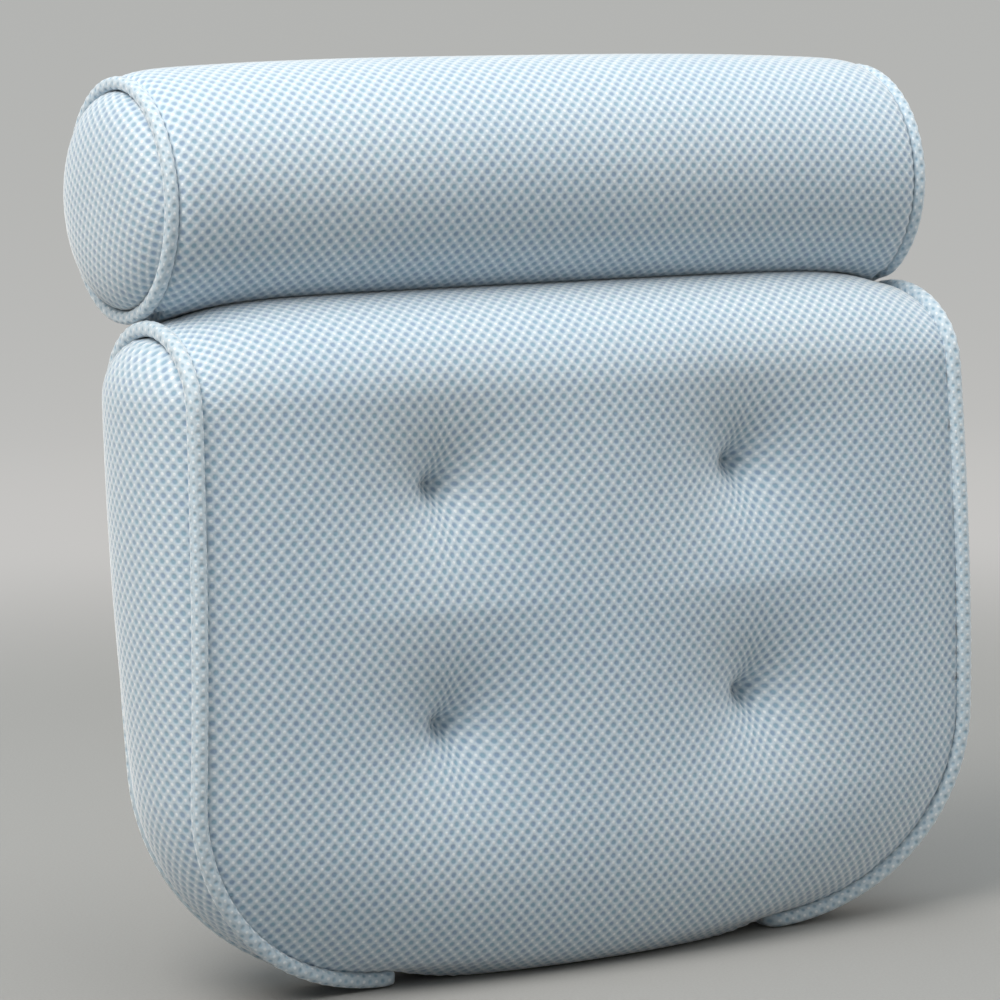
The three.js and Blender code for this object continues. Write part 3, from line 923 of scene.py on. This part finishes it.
held_foot = 0.012
held_top_turn = 1.0
held_pit_depth = 0.012
held_rate = 4


def near_seams(cloth, reach):
    """1 on the side seams, fading to 0 one row's pitch away from them."""
    return np.clip(1 - (reach[:, None] - np.abs(cloth[:len(reach), :, 0])) / row_pitch, 0, 1)


def cushion_held(places, cloth, reach, rows):
    """1 along the seams, in the pits, at the foot and under the roll, and 0 where the cloth is free."""
    pit = np.clip(dimple(places, front_tuft_depths) / held_pit_depth - 1, 0, 1)
    foot = np.clip(2 - places[..., 2] / held_foot, 0, 1)
    top = np.clip((rows[1] - held_top_turn) * held_rate, 0, 1)[:, None] + 0 * foot
    return np.maximum.reduce([near_seams(cloth, reach), pit, foot, top])


def cushion_cloth():
    """The cushion's cover, drawn in, settled and tucked in: its places and cloth coordinates."""
    widest = cushion_width / 2 * cloth_spare_share
    places, cloth, reach, rows = wrap_cover(cushion_loop, cushion_place, widest)
    drawn = drawn_in(places, cloth, reach, rows)
    placed = settle(places, drawn, cushion_held(drawn, cloth, reach, rows))
    placed = raised(placed, cloth, reach, True)
    placed[..., 2] = np.maximum(placed[..., 2], 0)
    return tucked(placed, cloth, panel_out)


cover_places, cover_cloth = cushion_cloth()
cushion_cover = cloth_mesh("cushion_cover_cloth", cover_places, cover_cloth, True)
show(cushion_cover, "back_cushion", air_mesh, "air_mesh", "cushion_cover")
print("cushion cover", len(cushion_cover.data.vertices), "points")

# %% [markdown]
# ## The side panels
#
# Each side of the cushion is closed by a leaf of the same cloth: wide and round at the shoulder, narrow at
# the foot. Its rows run level from the front seam to the back seam. The padding pushes it out between the
# seams, and its edge turns in under the piping.

# %% Lay a leaf of cloth over each side
panel_inset = piping_radius - (piping_radius + sewn_gap) * math.sin(piping_tilt) + sewn_gap
leaf_spare_share = 0.65
sides = (("left", -1), ("right", 1))


def leaf_lines(steps=300):
    """Heights, half widths and roundness at the top, from a side panel's foot to its top."""
    rising = np.linspace(foot_lift, shoulder_height, steps)
    turns = np.linspace(0, math.pi / 2, steps)
    roof = top_height(1) - shoulder_height - panel_inset
    heights = np.concatenate([rising, shoulder_height + roof * np.sin(turns)])
    halves = np.concatenate([side_panel_half(rising), side_panel_half(shoulder_height) * np.cos(turns)])
    inset = panel_inset * np.concatenate([np.ones(steps), np.cos(turns)])
    return [heights, halves - inset, np.concatenate([0 * turns, turns])]


def panel_place(side):
    """The surface of a bulging side panel, as a function of its lines from leaf_lines."""
    def place(across, line):
        height, half, turn = line
        share = side_panel_half(np.minimum(height, shoulder_height)) / (side_panel_width / 2)
        bulge = (cover_wall + side_panel_swell) * share**bulge_power * np.cos(turn)
        stand = sewn_gap + bulge * np.sqrt(1 - np.minimum(across**2, 1))
        out = panel_out(side, height)
        flat = np.broadcast_arrays(side * outline_half(height), lean_at(height) + across * half, height)
        placed = np.stack(flat, -1) + out * stand[..., None]
        placed[..., 2] = np.maximum(placed[..., 2], 0)
        return placed
    return place


def facing_out(side, places, cloth):
    """The same grid, with its columns in the other order on the left, so that its faces look outward."""
    return (places[:, ::-1], cloth[:, ::-1]) if side < 0 else (places, cloth)


def side_panel(name, side):
    """A leaf of cloth, laid row by row from the foot of the side to its top."""
    lines = leaf_lines()
    spine = np.stack([outline_half(lines[0]), lines[0]], -1)
    length = arc_lengths(spine)
    places_along = np.append(np.arange(0, length[-1], row_step), length[-1])
    rows = even_lines(lines, length, places_along)
    surface = panel_place(side)
    count = 2 * math.ceil(side_panel_width * leaf_spare_share / column_pitch)
    across, columns, reach = cloth_rows(rows, surface, count)
    places = surface(across, as_columns(rows))
    cloth = np.stack(np.broadcast_arrays(columns, places_along[:, None]), -1)
    places, cloth = facing_out(side, places, cloth)
    return cloth_mesh(name, raised(places, cloth, reach, False), cloth)


for side_name, side in sides:
    panel = side_panel("side_panel_cloth_" + side_name, side)
    show(panel, "back_cushion", air_mesh, "air_mesh", "side_panel_" + side_name)
    print(panel.name, len(panel.data.polygons), "faces")

# %% [markdown]
# ## Pipings
#
# A piping is a narrow strip of cloth folded over a cord and sewn into the seam, where it stays as a raised
# edge. It is a tube swept along the seam. Its section is a soft square, because the strip is folded and not
# round, and the rows of the mesh cross it as ribs, which make its edge look like fine teeth.

# %% Sweep a corded edge along each side seam
cord_stand = 0.00305
cord_half = 0.0031
cord_power = 2.4
roll_cord_share = 0.87
cord_rib = 0.00018
cord_turns = 16
smooth_passes = 6


def seam_directions(side, corners, out):
    """The direction past the seam at each of its corners."""
    along = unit(np.roll(corners, -1, 0) - np.roll(corners, 1, 0))
    return unit(np.cross(along, out)) * -side


def swept_cord(name, side, corners, out, share=1):
    """A corded edge along a closed seam, which stands out from its side and past the seam."""
    half, stand = cord_half * share, cord_stand * share
    past = seam_directions(side, corners, out)
    middle = corners + out * stand * math.cos(piping_tilt) + past * stand * math.sin(piping_tilt)
    angle = np.arange(cord_turns + 1) / cord_turns * full_turn
    bent = [np.sign(wave(angle)) * np.abs(wave(angle)) ** (2 / cord_power) for wave in (np.cos, np.sin)]
    around = np.arange(cord_turns + 1) * column_pitch / 4
    along = np.arange(len(corners) + 1) * row_pitch / 4
    rib = 1 - lattice_relief(around[None, :], along[:-1, None]) * cord_rib / cord_half
    section = out[:, None] * (bent[0] * half)[None, :, None]
    section = section + past[:, None] * (bent[1] * half)[None, :, None]
    places = middle[:, None] + section * rib[..., None]
    cord = cloth_mesh(name, places, np.stack(np.meshgrid(around, along), -1), True)
    if side > 0:
        cord.data.flip_normals()
    return cord


def even_loop(points):
    """A closed loop of evenly spaced points, with its sharp corners rounded."""
    loop = np.concatenate([points, points[:1]])
    length = arc_lengths(loop)
    count = 4 * round(length[-1] / row_pitch)
    at = np.arange(count) * length[-1] / count
    even = np.stack([np.interp(at, length, loop[:, k]) for k in range(3)], -1)
    for _ in range(smooth_passes):
        even = (np.roll(even, 1, 0) + 2 * even + np.roll(even, -1, 0)) / 4
    return even


for side_name, side in sides:
    corners = even_loop(cushion_place(np.array([float(side)]), cushion_loop))
    cord = swept_cord("cushion_cord_" + side_name, side, corners, panel_out(side, corners[:, 2]))
    show(cord, "back_cushion", edge_cord, "edge_cord", "cushion_piping_" + side_name)
    print(cord.name, len(cord.data.polygons), "faces")

# %% [markdown]
# ## The neck roll
#
# The roll is one cloth round a bolster, drawn in a little at its end seams. It lies on the cushion, so it
# is flat along the line of contact. Its surface is a formula as well, and the cloth goes over it in the
# same way.

# %% Lay the cloth over the roll
roll_middle_y = (roll_low.y + roll_high.y) / 2
top_passes = 4
droop_power = 3
resting_rate = 4
resting_from = 2.6
piping_rise = (piping_radius + sewn_gap) * math.sin(piping_tilt) + piping_radius
roll_loop_steps = 1600
roll_loop = [np.linspace(0, full_turn, roll_loop_steps)]


def cushion_top_at(x, y):
    """The height of the cushion's top, or of the piping on it, under a point of the roll."""
    across = np.clip(x / outline_half(shoulder_height), -1, 1)
    height = top_height(across) + 0 * y
    front, back = padding_halves(across, shoulder_height)
    for _ in range(top_passes):
        away = y - lean_at(height)
        turn = np.arccos(np.clip(np.abs(away) / np.where(away < 0, front, back), 0, 1))
        height = mix(shoulder_height, top_height(across), np.sin(turn))
    over_piping = np.abs(x) > outline_half(cushion_height) - piping_radius
    return height + np.where(over_piping, piping_rise + sewn_gap, 0)


def roll_bend(across):
    """The level of the roll's middle: its ends hang down over the cushion, and it lies a little askew."""
    return roll_level - roll_end_droop * np.abs(across) ** droop_power - roll_tilt * across


def roll_draw(across):
    """How much thinner the roll is towards its end seams."""
    return roll_end_draw * np.abs(across) ** roll_draw_power


def roll_place(across, line):
    """Places on the roll's surface; its lines hold turns from the lowest line over the front."""
    turn, draw = line[0], roll_draw(across)
    near_seam = np.clip((np.abs(across) - overhang_share) / (1 - overhang_share), 0, 1)
    x = across * roll_width / 2 + np.sign(across) * roll_overhang * np.sin(near_seam * math.pi)
    y = roll_middle_y - (roll_depth / 2 - draw) * np.sin(turn)
    z = roll_bend(across) - (roll_height / 2 - draw) * np.cos(turn)
    own_piping = piping_rise * np.abs(across) ** roll_draw_power
    x, y = np.broadcast_arrays(x, y)
    z = np.maximum(z, cushion_top_at(x, y) + own_piping + sewn_gap)
    return np.stack([x, y, z], -1)


def roll_out(side, height):
    """The direction out of the roll's upright ends, for each of these heights."""
    return np.stack([side + 0 * height, 0 * height, 0 * height], -1)


def roll_cloth():
    """The roll's cover, settled and tucked in: its places and cloth coordinates."""
    places, cloth, reach, rows = wrap_cover(roll_loop, roll_place, roll_width / 2 * cloth_spare_share)
    resting = np.clip(np.cos(rows[0]) * resting_rate - resting_from, 0, 1)[:, None]
    placed = settle(places, places, np.maximum(near_seams(cloth, reach), resting))
    return tucked(raised(placed, cloth, reach, True), cloth, roll_out)


roll_cover = cloth_mesh("roll_cover_cloth", *roll_cloth(), True)
show(roll_cover, "neck_roll", air_mesh, "air_mesh", "roll_cover")
print("roll cover", len(roll_cover.data.vertices), "points")

# %% [markdown]
# ## The roll's ends
#
# A round of cloth closes each end and bulges out with the filling. Nobody lines a small round up with the
# weave, so its rows run askew. A corded edge goes round it.

# %% Close the roll's ends
end_skew = math.radians(17)
dome_power = 2.4
dome_steps = 200


def domed(spread):
    """For a share of the cloth's radius: the share of the end's radius there, how far it stands out, and how
    much longer the cloth's radius is than the end's."""
    turns = np.linspace(0, math.pi / 2, dome_steps)
    radius = (roll_depth + roll_height) / 4 - roll_end_draw - panel_inset
    rise = cover_wall + roll_end_swell
    out, up = np.sin(turns) ** (2 / dome_power), np.cos(turns) ** (2 / dome_power)
    length = arc_lengths(np.stack([radius * out, rise * up], -1))
    away = spread * length[-1]
    return np.interp(away, length, out), rise * np.interp(away, length, up), length[-1] / radius


def skew_rows(halves, row_way, column_way):
    """For each row of the cloth across an oval: its distance from the oval's middle, and the middle and the
    reach of the part that lies inside."""
    square = ((row_way / halves) ** 2).sum()
    cross = 2 * (row_way * column_way / halves**2).sum()
    steep = ((column_way / halves) ** 2).sum()
    furthest = math.sqrt(square / (square * steep - cross**2 / 4))
    count = 2 * math.ceil(furthest / row_step / 2)
    rows = np.clip(np.arange(-count, count + 1) * row_step, -furthest, furthest)[:, None]
    root = np.sqrt(np.maximum((cross * rows) ** 2 - 4 * square * (steep * rows**2 - 1), 0))
    return rows, -cross * rows / 2 / square, root / 2 / square


def end_panel(name, side):
    """An oval of cloth whose rows run askew, pushed out like a flat dome."""
    stretch = domed(0)[2]
    halves = np.array([roll_depth, roll_height]) / 2 - roll_end_draw - panel_inset
    cloth_halves = halves * stretch
    row_way = np.array([math.cos(end_skew), -math.sin(end_skew)])
    column_way = np.array([math.sin(end_skew), math.cos(end_skew)])
    rows, middle, reach = skew_rows(cloth_halves, row_way, column_way)
    count = 2 * math.ceil((np.abs(middle) + reach).max() / column_pitch)
    columns = np.arange(-count, count + 1)[None, :] * column_step
    columns = np.clip(columns, middle - reach, middle + reach)
    flat = columns[..., None] * row_way + rows[..., None] * column_way
    spread = np.sqrt(((flat / cloth_halves) ** 2).sum(-1))
    drawn, stand, _ = domed(np.minimum(spread, 1))
    flat = flat / stretch * (drawn / np.maximum(spread, weld))[..., None]
    y = roll_middle_y + flat[..., 0]
    z = roll_bend(side) + flat[..., 1]
    x = side * (roll_width / 2 + sewn_gap + stand)
    z = np.maximum(z, cushion_top_at(0 * y + side * roll_width / 2, y) + piping_rise + panel_inset)
    cloth = np.stack(np.broadcast_arrays(columns, rows), -1)
    places, cloth = facing_out(side, np.stack([x, y, z], -1), cloth)
    amount = relief_heights(cloth) * np.clip((1 - spread) * halves[0] / column_pitch, 0, 1)
    return cloth_mesh(name, places + grid_normals(places, False) * amount[..., None], cloth)


for side_name, side in sides:
    panel = end_panel("roll_end_cloth_" + side_name, side)
    show(panel, "neck_roll", air_mesh, "air_mesh", "roll_end_panel_" + side_name)
    corners = even_loop(roll_place(np.array([float(side)]), [roll_loop[0][:-1]]))
    out = roll_out(side, corners[:, 2])
    cord = swept_cord("roll_cord_" + side_name, side, corners, out, roll_cord_share)
    show(cord, "neck_roll", edge_cord, "edge_cord", "roll_piping_" + side_name)
    print(panel.name, len(panel.data.polygons), "faces;", cord.name, len(cord.data.polygons), "faces")

# %% [markdown]
# ## The strip at the fold
#
# The roll hangs on the cushion by a strip of cloth along its lower back, so that it can fold back over the
# rim of a bath. The strip crosses that joint. It is one thin closed mesh.

# %% Sew the strip to the cushion and the roll
strip_length = 0.290
strip_thickness = 0.0016
strip_start = 0.232
strip_lap = 0.010
strip_points = 5
strip_turns = (0.12, 0.52)
strip_passes = 3
bend_below = 0.010
bend_above = 0.002
fold = next(joint for joint in frame["joints"] if joint["name"] == "roll_fold")
fold_y, fold_z = fold["pos_m"][1:]


def strip_path():
    """The strip's middle, seen from the side: up the cushion's back, over to the fold, and up the roll."""
    stand = strip_thickness / 2 + sewn_gap
    rising = np.linspace(strip_start, shoulder_height, strip_points)
    over = np.linspace(*strip_turns, strip_points - 1)
    heights = np.append(rising, np.full(len(over), shoulder_height))
    turns = np.append(0 * rising, over)
    on_cushion = cushion_place(np.array([0.0]), [heights, turns, 0 * heights])[:, 1:]
    start_turn = math.atan2(fold_y - roll_middle_y, roll_level - fold_z)
    on_roll = start_turn + np.linspace(0, 1, strip_points) * strip_lap / (roll_depth / 2)
    back = roll_middle_y + (roll_depth / 2 + stand) * np.sin(on_roll)
    roll_part = np.stack([back, roll_level - (roll_height / 2 + stand) * np.cos(on_roll)], -1)
    ahead = unit(np.gradient(on_cushion, axis=0))
    on_cushion = on_cushion + np.stack([ahead[:, 1], -ahead[:, 0]], -1) * stand
    return np.concatenate([on_cushion, [[fold_y, fold_z]], roll_part[1:]])


def fold_strip():
    """A thin closed section along the strip's path, repeated over the strip's length."""
    path = strip_path()
    length = arc_lengths(path)
    count = 2 * math.ceil(strip_length / column_pitch / 2)
    rows = np.append(np.arange(0, length[-1], row_step), length[-1])
    middle = np.stack([np.interp(rows, length, path[:, k]) for k in range(2)], -1)
    for _ in range(strip_passes):
        middle[1:-1] = (middle[:-2] + 2 * middle[1:-1] + middle[2:]) / 4
    ahead = unit(np.gradient(middle, axis=0))
    normal = np.stack([ahead[:, 1], -ahead[:, 0]], -1) * strip_thickness / 2
    section = np.concatenate([middle + normal, [middle[-1] + ahead[-1] * strip_thickness / 2],
                              (middle - normal)[::-1], [middle[0] - ahead[0] * strip_thickness / 2]])
    along = np.concatenate([rows, rows[-1:], rows[::-1], rows[:1], rows[:1]])
    columns = np.clip(np.arange(-count, count + 1) * column_step, -strip_length / 2, strip_length / 2)
    end = np.concatenate([middle, middle[-1:], middle[::-1], middle[:1]])[None]
    flat = np.concatenate([end, np.tile(section, (len(columns), 1, 1)), end])
    x = np.concatenate([columns[:1], columns, columns[-1:]])[:, None] + 0 * flat[..., 0]
    places = np.concatenate([x[..., None], flat], -1).transpose(1, 0, 2)
    cloth = np.stack(np.broadcast_arrays(x.T[:1], along[:, None]), -1)
    return cloth_mesh("fold_strip_cloth", places, cloth, True)


strip = fold_strip()
strip.data.materials.append(air_mesh)
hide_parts("fold_strip")
fold_z - bend_below
fold_z + bend_above
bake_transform(strip)
print("strip", len(strip.data.polygons), "faces")

# %% [markdown]
# ## Suction cups and patches
#
# The back carries six suction cups of soft clear plastic. Each has a head like a button, which is pushed
# through a buttonhole in a sewn-on round patch, so the cups turn freely. They are turned shapes: one
# profile swept round an axis. The seats come from the joints of the frame, which lie on the cloth's outer
# face.

# %% A turned shape on an axis
cup_segments = 72


def tube_faces(rings, around, first=0):
    """Faces of a tube with both ends closed, whose points are numbered ring by ring."""
    faces = []
    for ring in range(rings - 1):
        near = first + ring * around
        for step in range(around):
            after = (step + 1) % around
            faces.append((near + step, near + after, near + around + after, near + around + step))
    start = tuple(first + step for step in range(around))
    return faces + [start[::-1], tuple(point + (rings - 1) * around for point in start)]


def turned(name, profile, foot, facing, segments=cup_segments):
    """A closed mesh from a profile of radius and height pairs, turned round the axis of a seat."""
    turn = Vector((0, 0, 1)).rotation_difference(Vector(facing).normalized()).to_matrix()
    angle = np.arange(segments) / segments * full_turn
    radius, height = np.array(profile).T[..., None]
    local = np.stack([radius * np.cos(angle), radius * np.sin(angle), height + 0 * angle], -1)
    places = local @ np.array(turn).T + np.array(foot)
    made = add_mesh(name, places.reshape(-1, 3), tube_faces(len(profile), segments))
    made.data.validate()
    return made


def curve(low, high, start, end, steps=10):
    """Points on a quarter of an ellipse between two corners of a profile, by angles in quarter turns."""
    turns = np.linspace(start, end, steps) * math.pi / 2
    return [(mix(low[0], high[0], math.sin(t)), mix(high[1], low[1], math.cos(t))) for t in turns]


# %% The cups' profile and plastic
cup_radius = 0.026
cup_height = 0.017
cup_rim_width = 0.0025
cup_rim_thickness = 0.0014
cup_hub_radius = 0.009
cup_hub_thickness = 0.0032
cup_neck_radius = 0.004
cup_head_radius = 0.0075
cup_head_top = -0.005
cup_head_low = -0.008
patch_thickness = 0.0015
patch_radius = 0.018
edge_soft = 0.0005
bowl_hole_share = 0.02
ripple_scale = 140
dust_scale = 2400
dust_range = (0.55, 0.8)
ripple_bump = 0.0004
plastic_tints = linear(226, 238, 243), linear(240, 244, 246)


def cup_profile():
    """From the head's middle behind the cloth, out along the bowl, and back in to the bowl's middle."""
    bowl_low = patch_thickness + sewn_gap
    head = [(edge_soft, cup_head_low), (cup_head_radius - edge_soft, cup_head_low)]
    head += [(cup_head_radius, cup_head_low + edge_soft), (cup_head_radius, cup_head_top - edge_soft)]
    head += [(cup_head_radius - edge_soft, cup_head_top), (cup_neck_radius + edge_soft, cup_head_top)]
    neck = [(cup_neck_radius, cup_head_top + edge_soft), (cup_neck_radius, bowl_low)]
    outside = curve((cup_hub_radius, bowl_low), (cup_radius, cup_height - cup_rim_thickness), 0, 1)
    rim = [(cup_radius, cup_height - edge_soft / 2), (cup_radius - edge_soft, cup_height)]
    rim += [(cup_radius - cup_rim_width, cup_height)]
    bowl_middle, bowl_edge = (0, bowl_low + cup_hub_thickness), (cup_radius - cup_rim_width, cup_height)
    inside = curve(bowl_middle, bowl_edge, 1, bowl_hole_share)
    return head + neck + outside + rim + inside[1:]


def plastic_finish():
    """Clear, slightly milky soft plastic with faint moulding ripples and a little dust."""
    material, start, shader = new_material("cup_plastic")
    place = start.object_place()
    relief = place.noise(ripple_scale).bump(0.15, ripple_bump)
    dust = place.noise(dust_scale, detail=3, roughness=0.7).step(*dust_range)
    tint = dust.between(*plastic_tints)
    feed(shader, {"Base Color": tint, "Roughness": 0.12 + dust * 0.25, "Normal": relief})
    feed(shader, {"IOR": 1.45, "Transmission Weight": 0.75})
    return material


cup_plastic = plastic_finish()
cup_seats = {joint["child"]: joint for joint in frame["joints"] if joint["name"].endswith("_cup_turn")}


def cup_node(body):
    """The frame's name for what a cup's body carries, such as cushion_cup_lower_left."""
    place = body.removesuffix("_cup")
    return "roll_cup_" + place.removeprefix("roll_") if body.startswith("roll") else "cushion_cup_" + place


for body, joint in cup_seats.items():
    cup = turned(cup_node(body) + "_bowl", cup_profile(), joint["pos_m"], joint["axis"])
    show(cup, body, cup_plastic, "cup_plastic", cup_node(body))
print(len(cup_seats), "cups")


# %% The patches with their stitching
patch_hole = cup_neck_radius + sewn_gap
stitch_ring = 0.0158
stitch_count = 34
stitch_radius = 0.00035
stitch_sides = 6
stitch_steps = 5
stitch_span_share = 0.36
stitch_hump = (-1.2, 0.7, 1.0, 0.7, -1.2)
patch_ring_shares = (0.2, 0.4, 0.6, 0.75)
patch_colours = linear(150, 180, 196), linear(176, 200, 212)
thread_colours = linear(150, 178, 194), linear(206, 222, 231)
weave_pitch = 0.0009
weave_fuzz_scale = 3200
weave_bump = 0.0003
twist_scale = 900
twist_bump = 0.0001


def woven_finish(name, colours, pitch):
    """A plain weave: threads that pass over and under each other, paler where they come up."""
    material, start, shader = new_material(name)
    place = start.object_place()
    split = place.node("ShaderNodeSeparateXYZ", None, {"Vector": place})
    over, under = [place.math("SINE", way * (math.pi / pitch)) for way in (split, split.other(2))]
    height = over * under * 0.5 + 0.5
    fuzz = place.noise(weave_fuzz_scale, roughness=0.6)
    tone = (height * 0.7 + fuzz * 0.3).between(*colours)
    relief = (height + fuzz * 0.3).bump(0.6, weave_bump)
    feed(shader, {"Base Color": tone, "Roughness": 0.75 + fuzz * 0.2, "Normal": relief})
    feed(shader, {"Sheen Weight": 0.3, "Sheen Roughness": 0.4})
    return material


def surface_y(x, z, is_roll):
    """How far back the outer cloth lies on the pillow's back."""
    if is_roll:
        across = x / (roll_width / 2)
        draw = roll_draw(across)
        share = (z - roll_bend(across)) / (roll_height / 2 - draw)
        return roll_middle_y + (roll_depth / 2 - draw) * np.sqrt(1 - share**2)
    half = padding_halves(x / outline_half(z), z)[1]
    flat = np.stack([x, 0 * x, z], -1)
    return lean_at(z) + half - dimple(flat, back_tuft_depths)


def on_back(radius, angle, joint, stand):
    """Places at these radii and angles round a seat, standing off the cloth."""
    foot, axis = np.array(joint["pos_m"]), np.array(joint["axis"])
    x = foot[0] + radius * np.cos(angle)
    z = foot[2] + radius * np.sin(angle)
    y = surface_y(x, z, joint["child"].startswith("roll"))
    return np.stack([x, y, z], -1) + axis * stand[..., None]


def sewn_patch(name, joint):
    """A round patch that follows the pillow's back, with a hole for the cup's neck."""
    profile = [(patch_hole, -cover_wall), (patch_hole, patch_thickness - edge_soft)]
    profile += [(patch_hole + edge_soft, patch_thickness)]
    profile += [(mix(patch_hole, patch_radius, share), patch_thickness) for share in patch_ring_shares]
    profile += [(stitch_ring, patch_thickness - stitch_radius)]
    profile += [(stitch_ring + 2 * edge_soft, patch_thickness)]
    profile += [(patch_radius - edge_soft, patch_thickness - edge_soft), (patch_radius, -sewn_gap)]
    radius, stand = np.array(profile).T
    angle = np.linspace(0, -full_turn, cup_segments + 1)
    places = on_back(radius[:, None], angle[None, :], joint, stand[:, None] + 0 * angle)
    cloth = np.stack(np.broadcast_arrays(radius[:, None] * angle[None, :], radius[:, None]), -1)
    return cloth_mesh(name, places, cloth)


def stitches(name, joint):
    """Short slanting stitches round the edge of a patch, as one mesh."""
    points, faces = [], []
    spin = np.arange(stitch_sides)[:, None] / stitch_sides * full_turn
    up = np.tile(np.array(joint["axis"]), (stitch_steps, 1))
    radius = stitch_ring + np.linspace(-1, 1, stitch_steps) * stitch_radius
    hump = patch_thickness + stitch_radius * np.array(stitch_hump)
    for index in range(stitch_count):
        span = np.linspace(-stitch_span_share, stitch_span_share, stitch_steps)
        spine = on_back(radius, (index + span) / stitch_count * full_turn, joint, hump)
        aside = unit(np.cross(unit(np.gradient(spine, axis=0)), up))
        ring = aside[:, None] * np.cos(spin) + up[:, None] * np.sin(spin)
        faces += tube_faces(stitch_steps, stitch_sides, len(points))
        points.extend((spine[:, None] + ring * stitch_radius).reshape(-1, 3))
    return add_mesh(name, points, faces)


def thread_finish():
    """Twisted polyester thread: fine slanting lines and a soft shine."""
    material, start, shader = new_material("thread")
    place = start.object_place()
    settings = {"wave_type": "BANDS", "bands_direction": "DIAGONAL"}
    inputs = {"Vector": place, "Scale": twist_scale, "Distortion": 1.5}
    twist = place.node("ShaderNodeTexWave", settings, inputs, 1)
    tone = twist.between(*thread_colours)
    relief = twist.bump(0.4, twist_bump)
    feed(shader, {"Base Color": tone, "Roughness": 0.45 + twist * 0.15, "Normal": relief})
    feed(shader, {"Sheen Weight": 0.2})
    return material


patch_cloth = woven_finish("patch_cloth", patch_colours, weave_pitch)
thread = thread_finish()
for body, joint in cup_seats.items():
    node = cup_node(body).replace("_cup_", "_cup_patch_")
    home = joint["parent"]
    show(sewn_patch(node + "_cloth", joint), home, patch_cloth, "patch_cloth", node)
    show(stitches(node + "_stitches", joint), home, thread, "thread")
print("patches with", stitch_count, "stitches each")

# %% [markdown]
# ## The ties and the filling
#
# A tie is a strong twisted thread that runs through the padding, with a small knot in the pit at each end.
# The filling shows nowhere but it is the pillow's body, so it is modelled as the same shapes, a cloth's
# thickness further in and with wider hollows at the tufts.

# %% Ties, and the filling inside the covers
tie_radius = 0.0009
tie_ply = 0.00045
tie_twist = 0.0042
tie_steps = 160
ply_sides = 8
knot_radius = 0.0015
knot_points = 12
knot_segments = 20
knot_gap_share = 0.04
knot_flat_share = 0.7
fluff_scale = 260
fluff_bump = 0.002
fibre_colours = linear(226, 229, 229), linear(248, 249, 248)
fill_inset = cover_wall + sewn_gap
fill_columns = 41
fill_rows = 120


def tie(name, x, z):
    """Two plies wound round each other between two small knots."""
    share, foot = x / outline_half(z), np.array([x, 0, z])
    front, back = padding_halves(share, z)
    front, back = front - dimple(foot, front_tuft_depths), back - dimple(foot, back_tuft_depths)
    ends = lean_at(z) - front, lean_at(z) + back
    y = mix(ends[0], ends[1], np.linspace(0, 1, tie_steps))
    spin = np.arange(ply_sides + 1) / ply_sides * full_turn
    ring = np.stack([np.cos(spin), 0 * spin, np.sin(spin)], -1) * tie_radius / 2
    pieces = []
    for ply in (0, math.pi):
        wind = (y - ends[0]) / tie_twist * full_turn + ply
        spine = np.stack([x + tie_ply * np.cos(wind), y, z + tie_ply * np.sin(wind)], -1)
        row = spine[:, None] + ring[None]
        pieces.append(cloth_mesh(name + "_ply", row, np.zeros(row.shape[:2] + (2,))))
    turns = np.linspace(knot_gap_share, 1 - knot_gap_share, knot_points) * math.pi
    profile = [(knot_radius * math.sin(t), -knot_radius * math.cos(t) * knot_flat_share) for t in turns]
    for end, way in ((ends[0], -1), (ends[1], 1)):
        foot = (x, end - way * knot_radius / 2, z)
        pieces.append(turned(name + "_knot", profile, foot, (0, way, 0), knot_segments))
    with bpy.context.temp_override(active_object=pieces[0], selected_editable_objects=pieces):
        bpy.ops.object.join()
    pieces[0].name = name
    return pieces[0]


def fibre_finish():
    """Loose white fibre: fine curly noise."""
    material, start, shader = new_material("fibre_fill")
    fluff = start.object_place().noise(fluff_scale, detail=6, roughness=0.7)
    tone = fluff.between(*fibre_colours)
    relief = fluff.bump(0.8, fluff_bump)
    feed(shader, {"Base Color": tone, "Roughness": 0.85 + fluff * 0.1, "Normal": relief})
    feed(shader, {"Sheen Weight": 0.4})
    return material


def filling(name, surface, lines, width, depths=None):
    """A closed body under a cover: the cover's shape, drawn in towards the middle."""
    shares = np.sin(np.linspace(-1, 1, fill_columns) * math.pi / 2)
    length = arc_lengths(surface(np.zeros(len(lines[0])), lines))
    rows = even_lines(lines, length, np.arange(fill_rows) * length[-1] / fill_rows)
    places = surface(shares[None, :], as_columns(rows))
    if depths:
        front, back = [dimple(places, (sum(depth), 0)) for depth in depths]
        in_front, behind = front_and_back(rows)
        places[..., 1] += front * in_front[:, None] - back * behind[:, None]
    places = places - grid_normals(places, True) * fill_inset
    middle = width / 2 - fill_inset
    places[..., 0] = np.clip(places[..., 0], -middle, middle)
    ends = [np.tile(places[:, column].mean(0), (len(places), 1))[:, None] for column in (0, -1)]
    places = np.concatenate([ends[0], places, ends[1]], 1)
    return cloth_mesh(name, places, np.zeros((len(places) + 1, places.shape[1], 2)), True)


fibre = fibre_finish()
names = [level + "_" + side_name for level in ("lower", "upper") for side_name, _ in sides]
for name, (x, z) in zip(names, tuft_middles()):
    show(tie("tuft_tie_thread_" + name, x, z), "back_cushion", thread, "thread", "tuft_tie_" + name)
tuft_depths = front_tuft_depths, back_tuft_depths
cushion_fill = filling("cushion_padding", cushion_place, cushion_loop, cushion_width, tuft_depths)
show(cushion_fill, "back_cushion", fibre, "fibre_fill", "cushion_fill")
roll_fill = filling("roll_padding", roll_place, roll_loop, roll_width)
show(roll_fill, "neck_roll", fibre, "fibre_fill", "roll_fill")
print("filling", [fill.name for fill in (cushion_fill, roll_fill)])
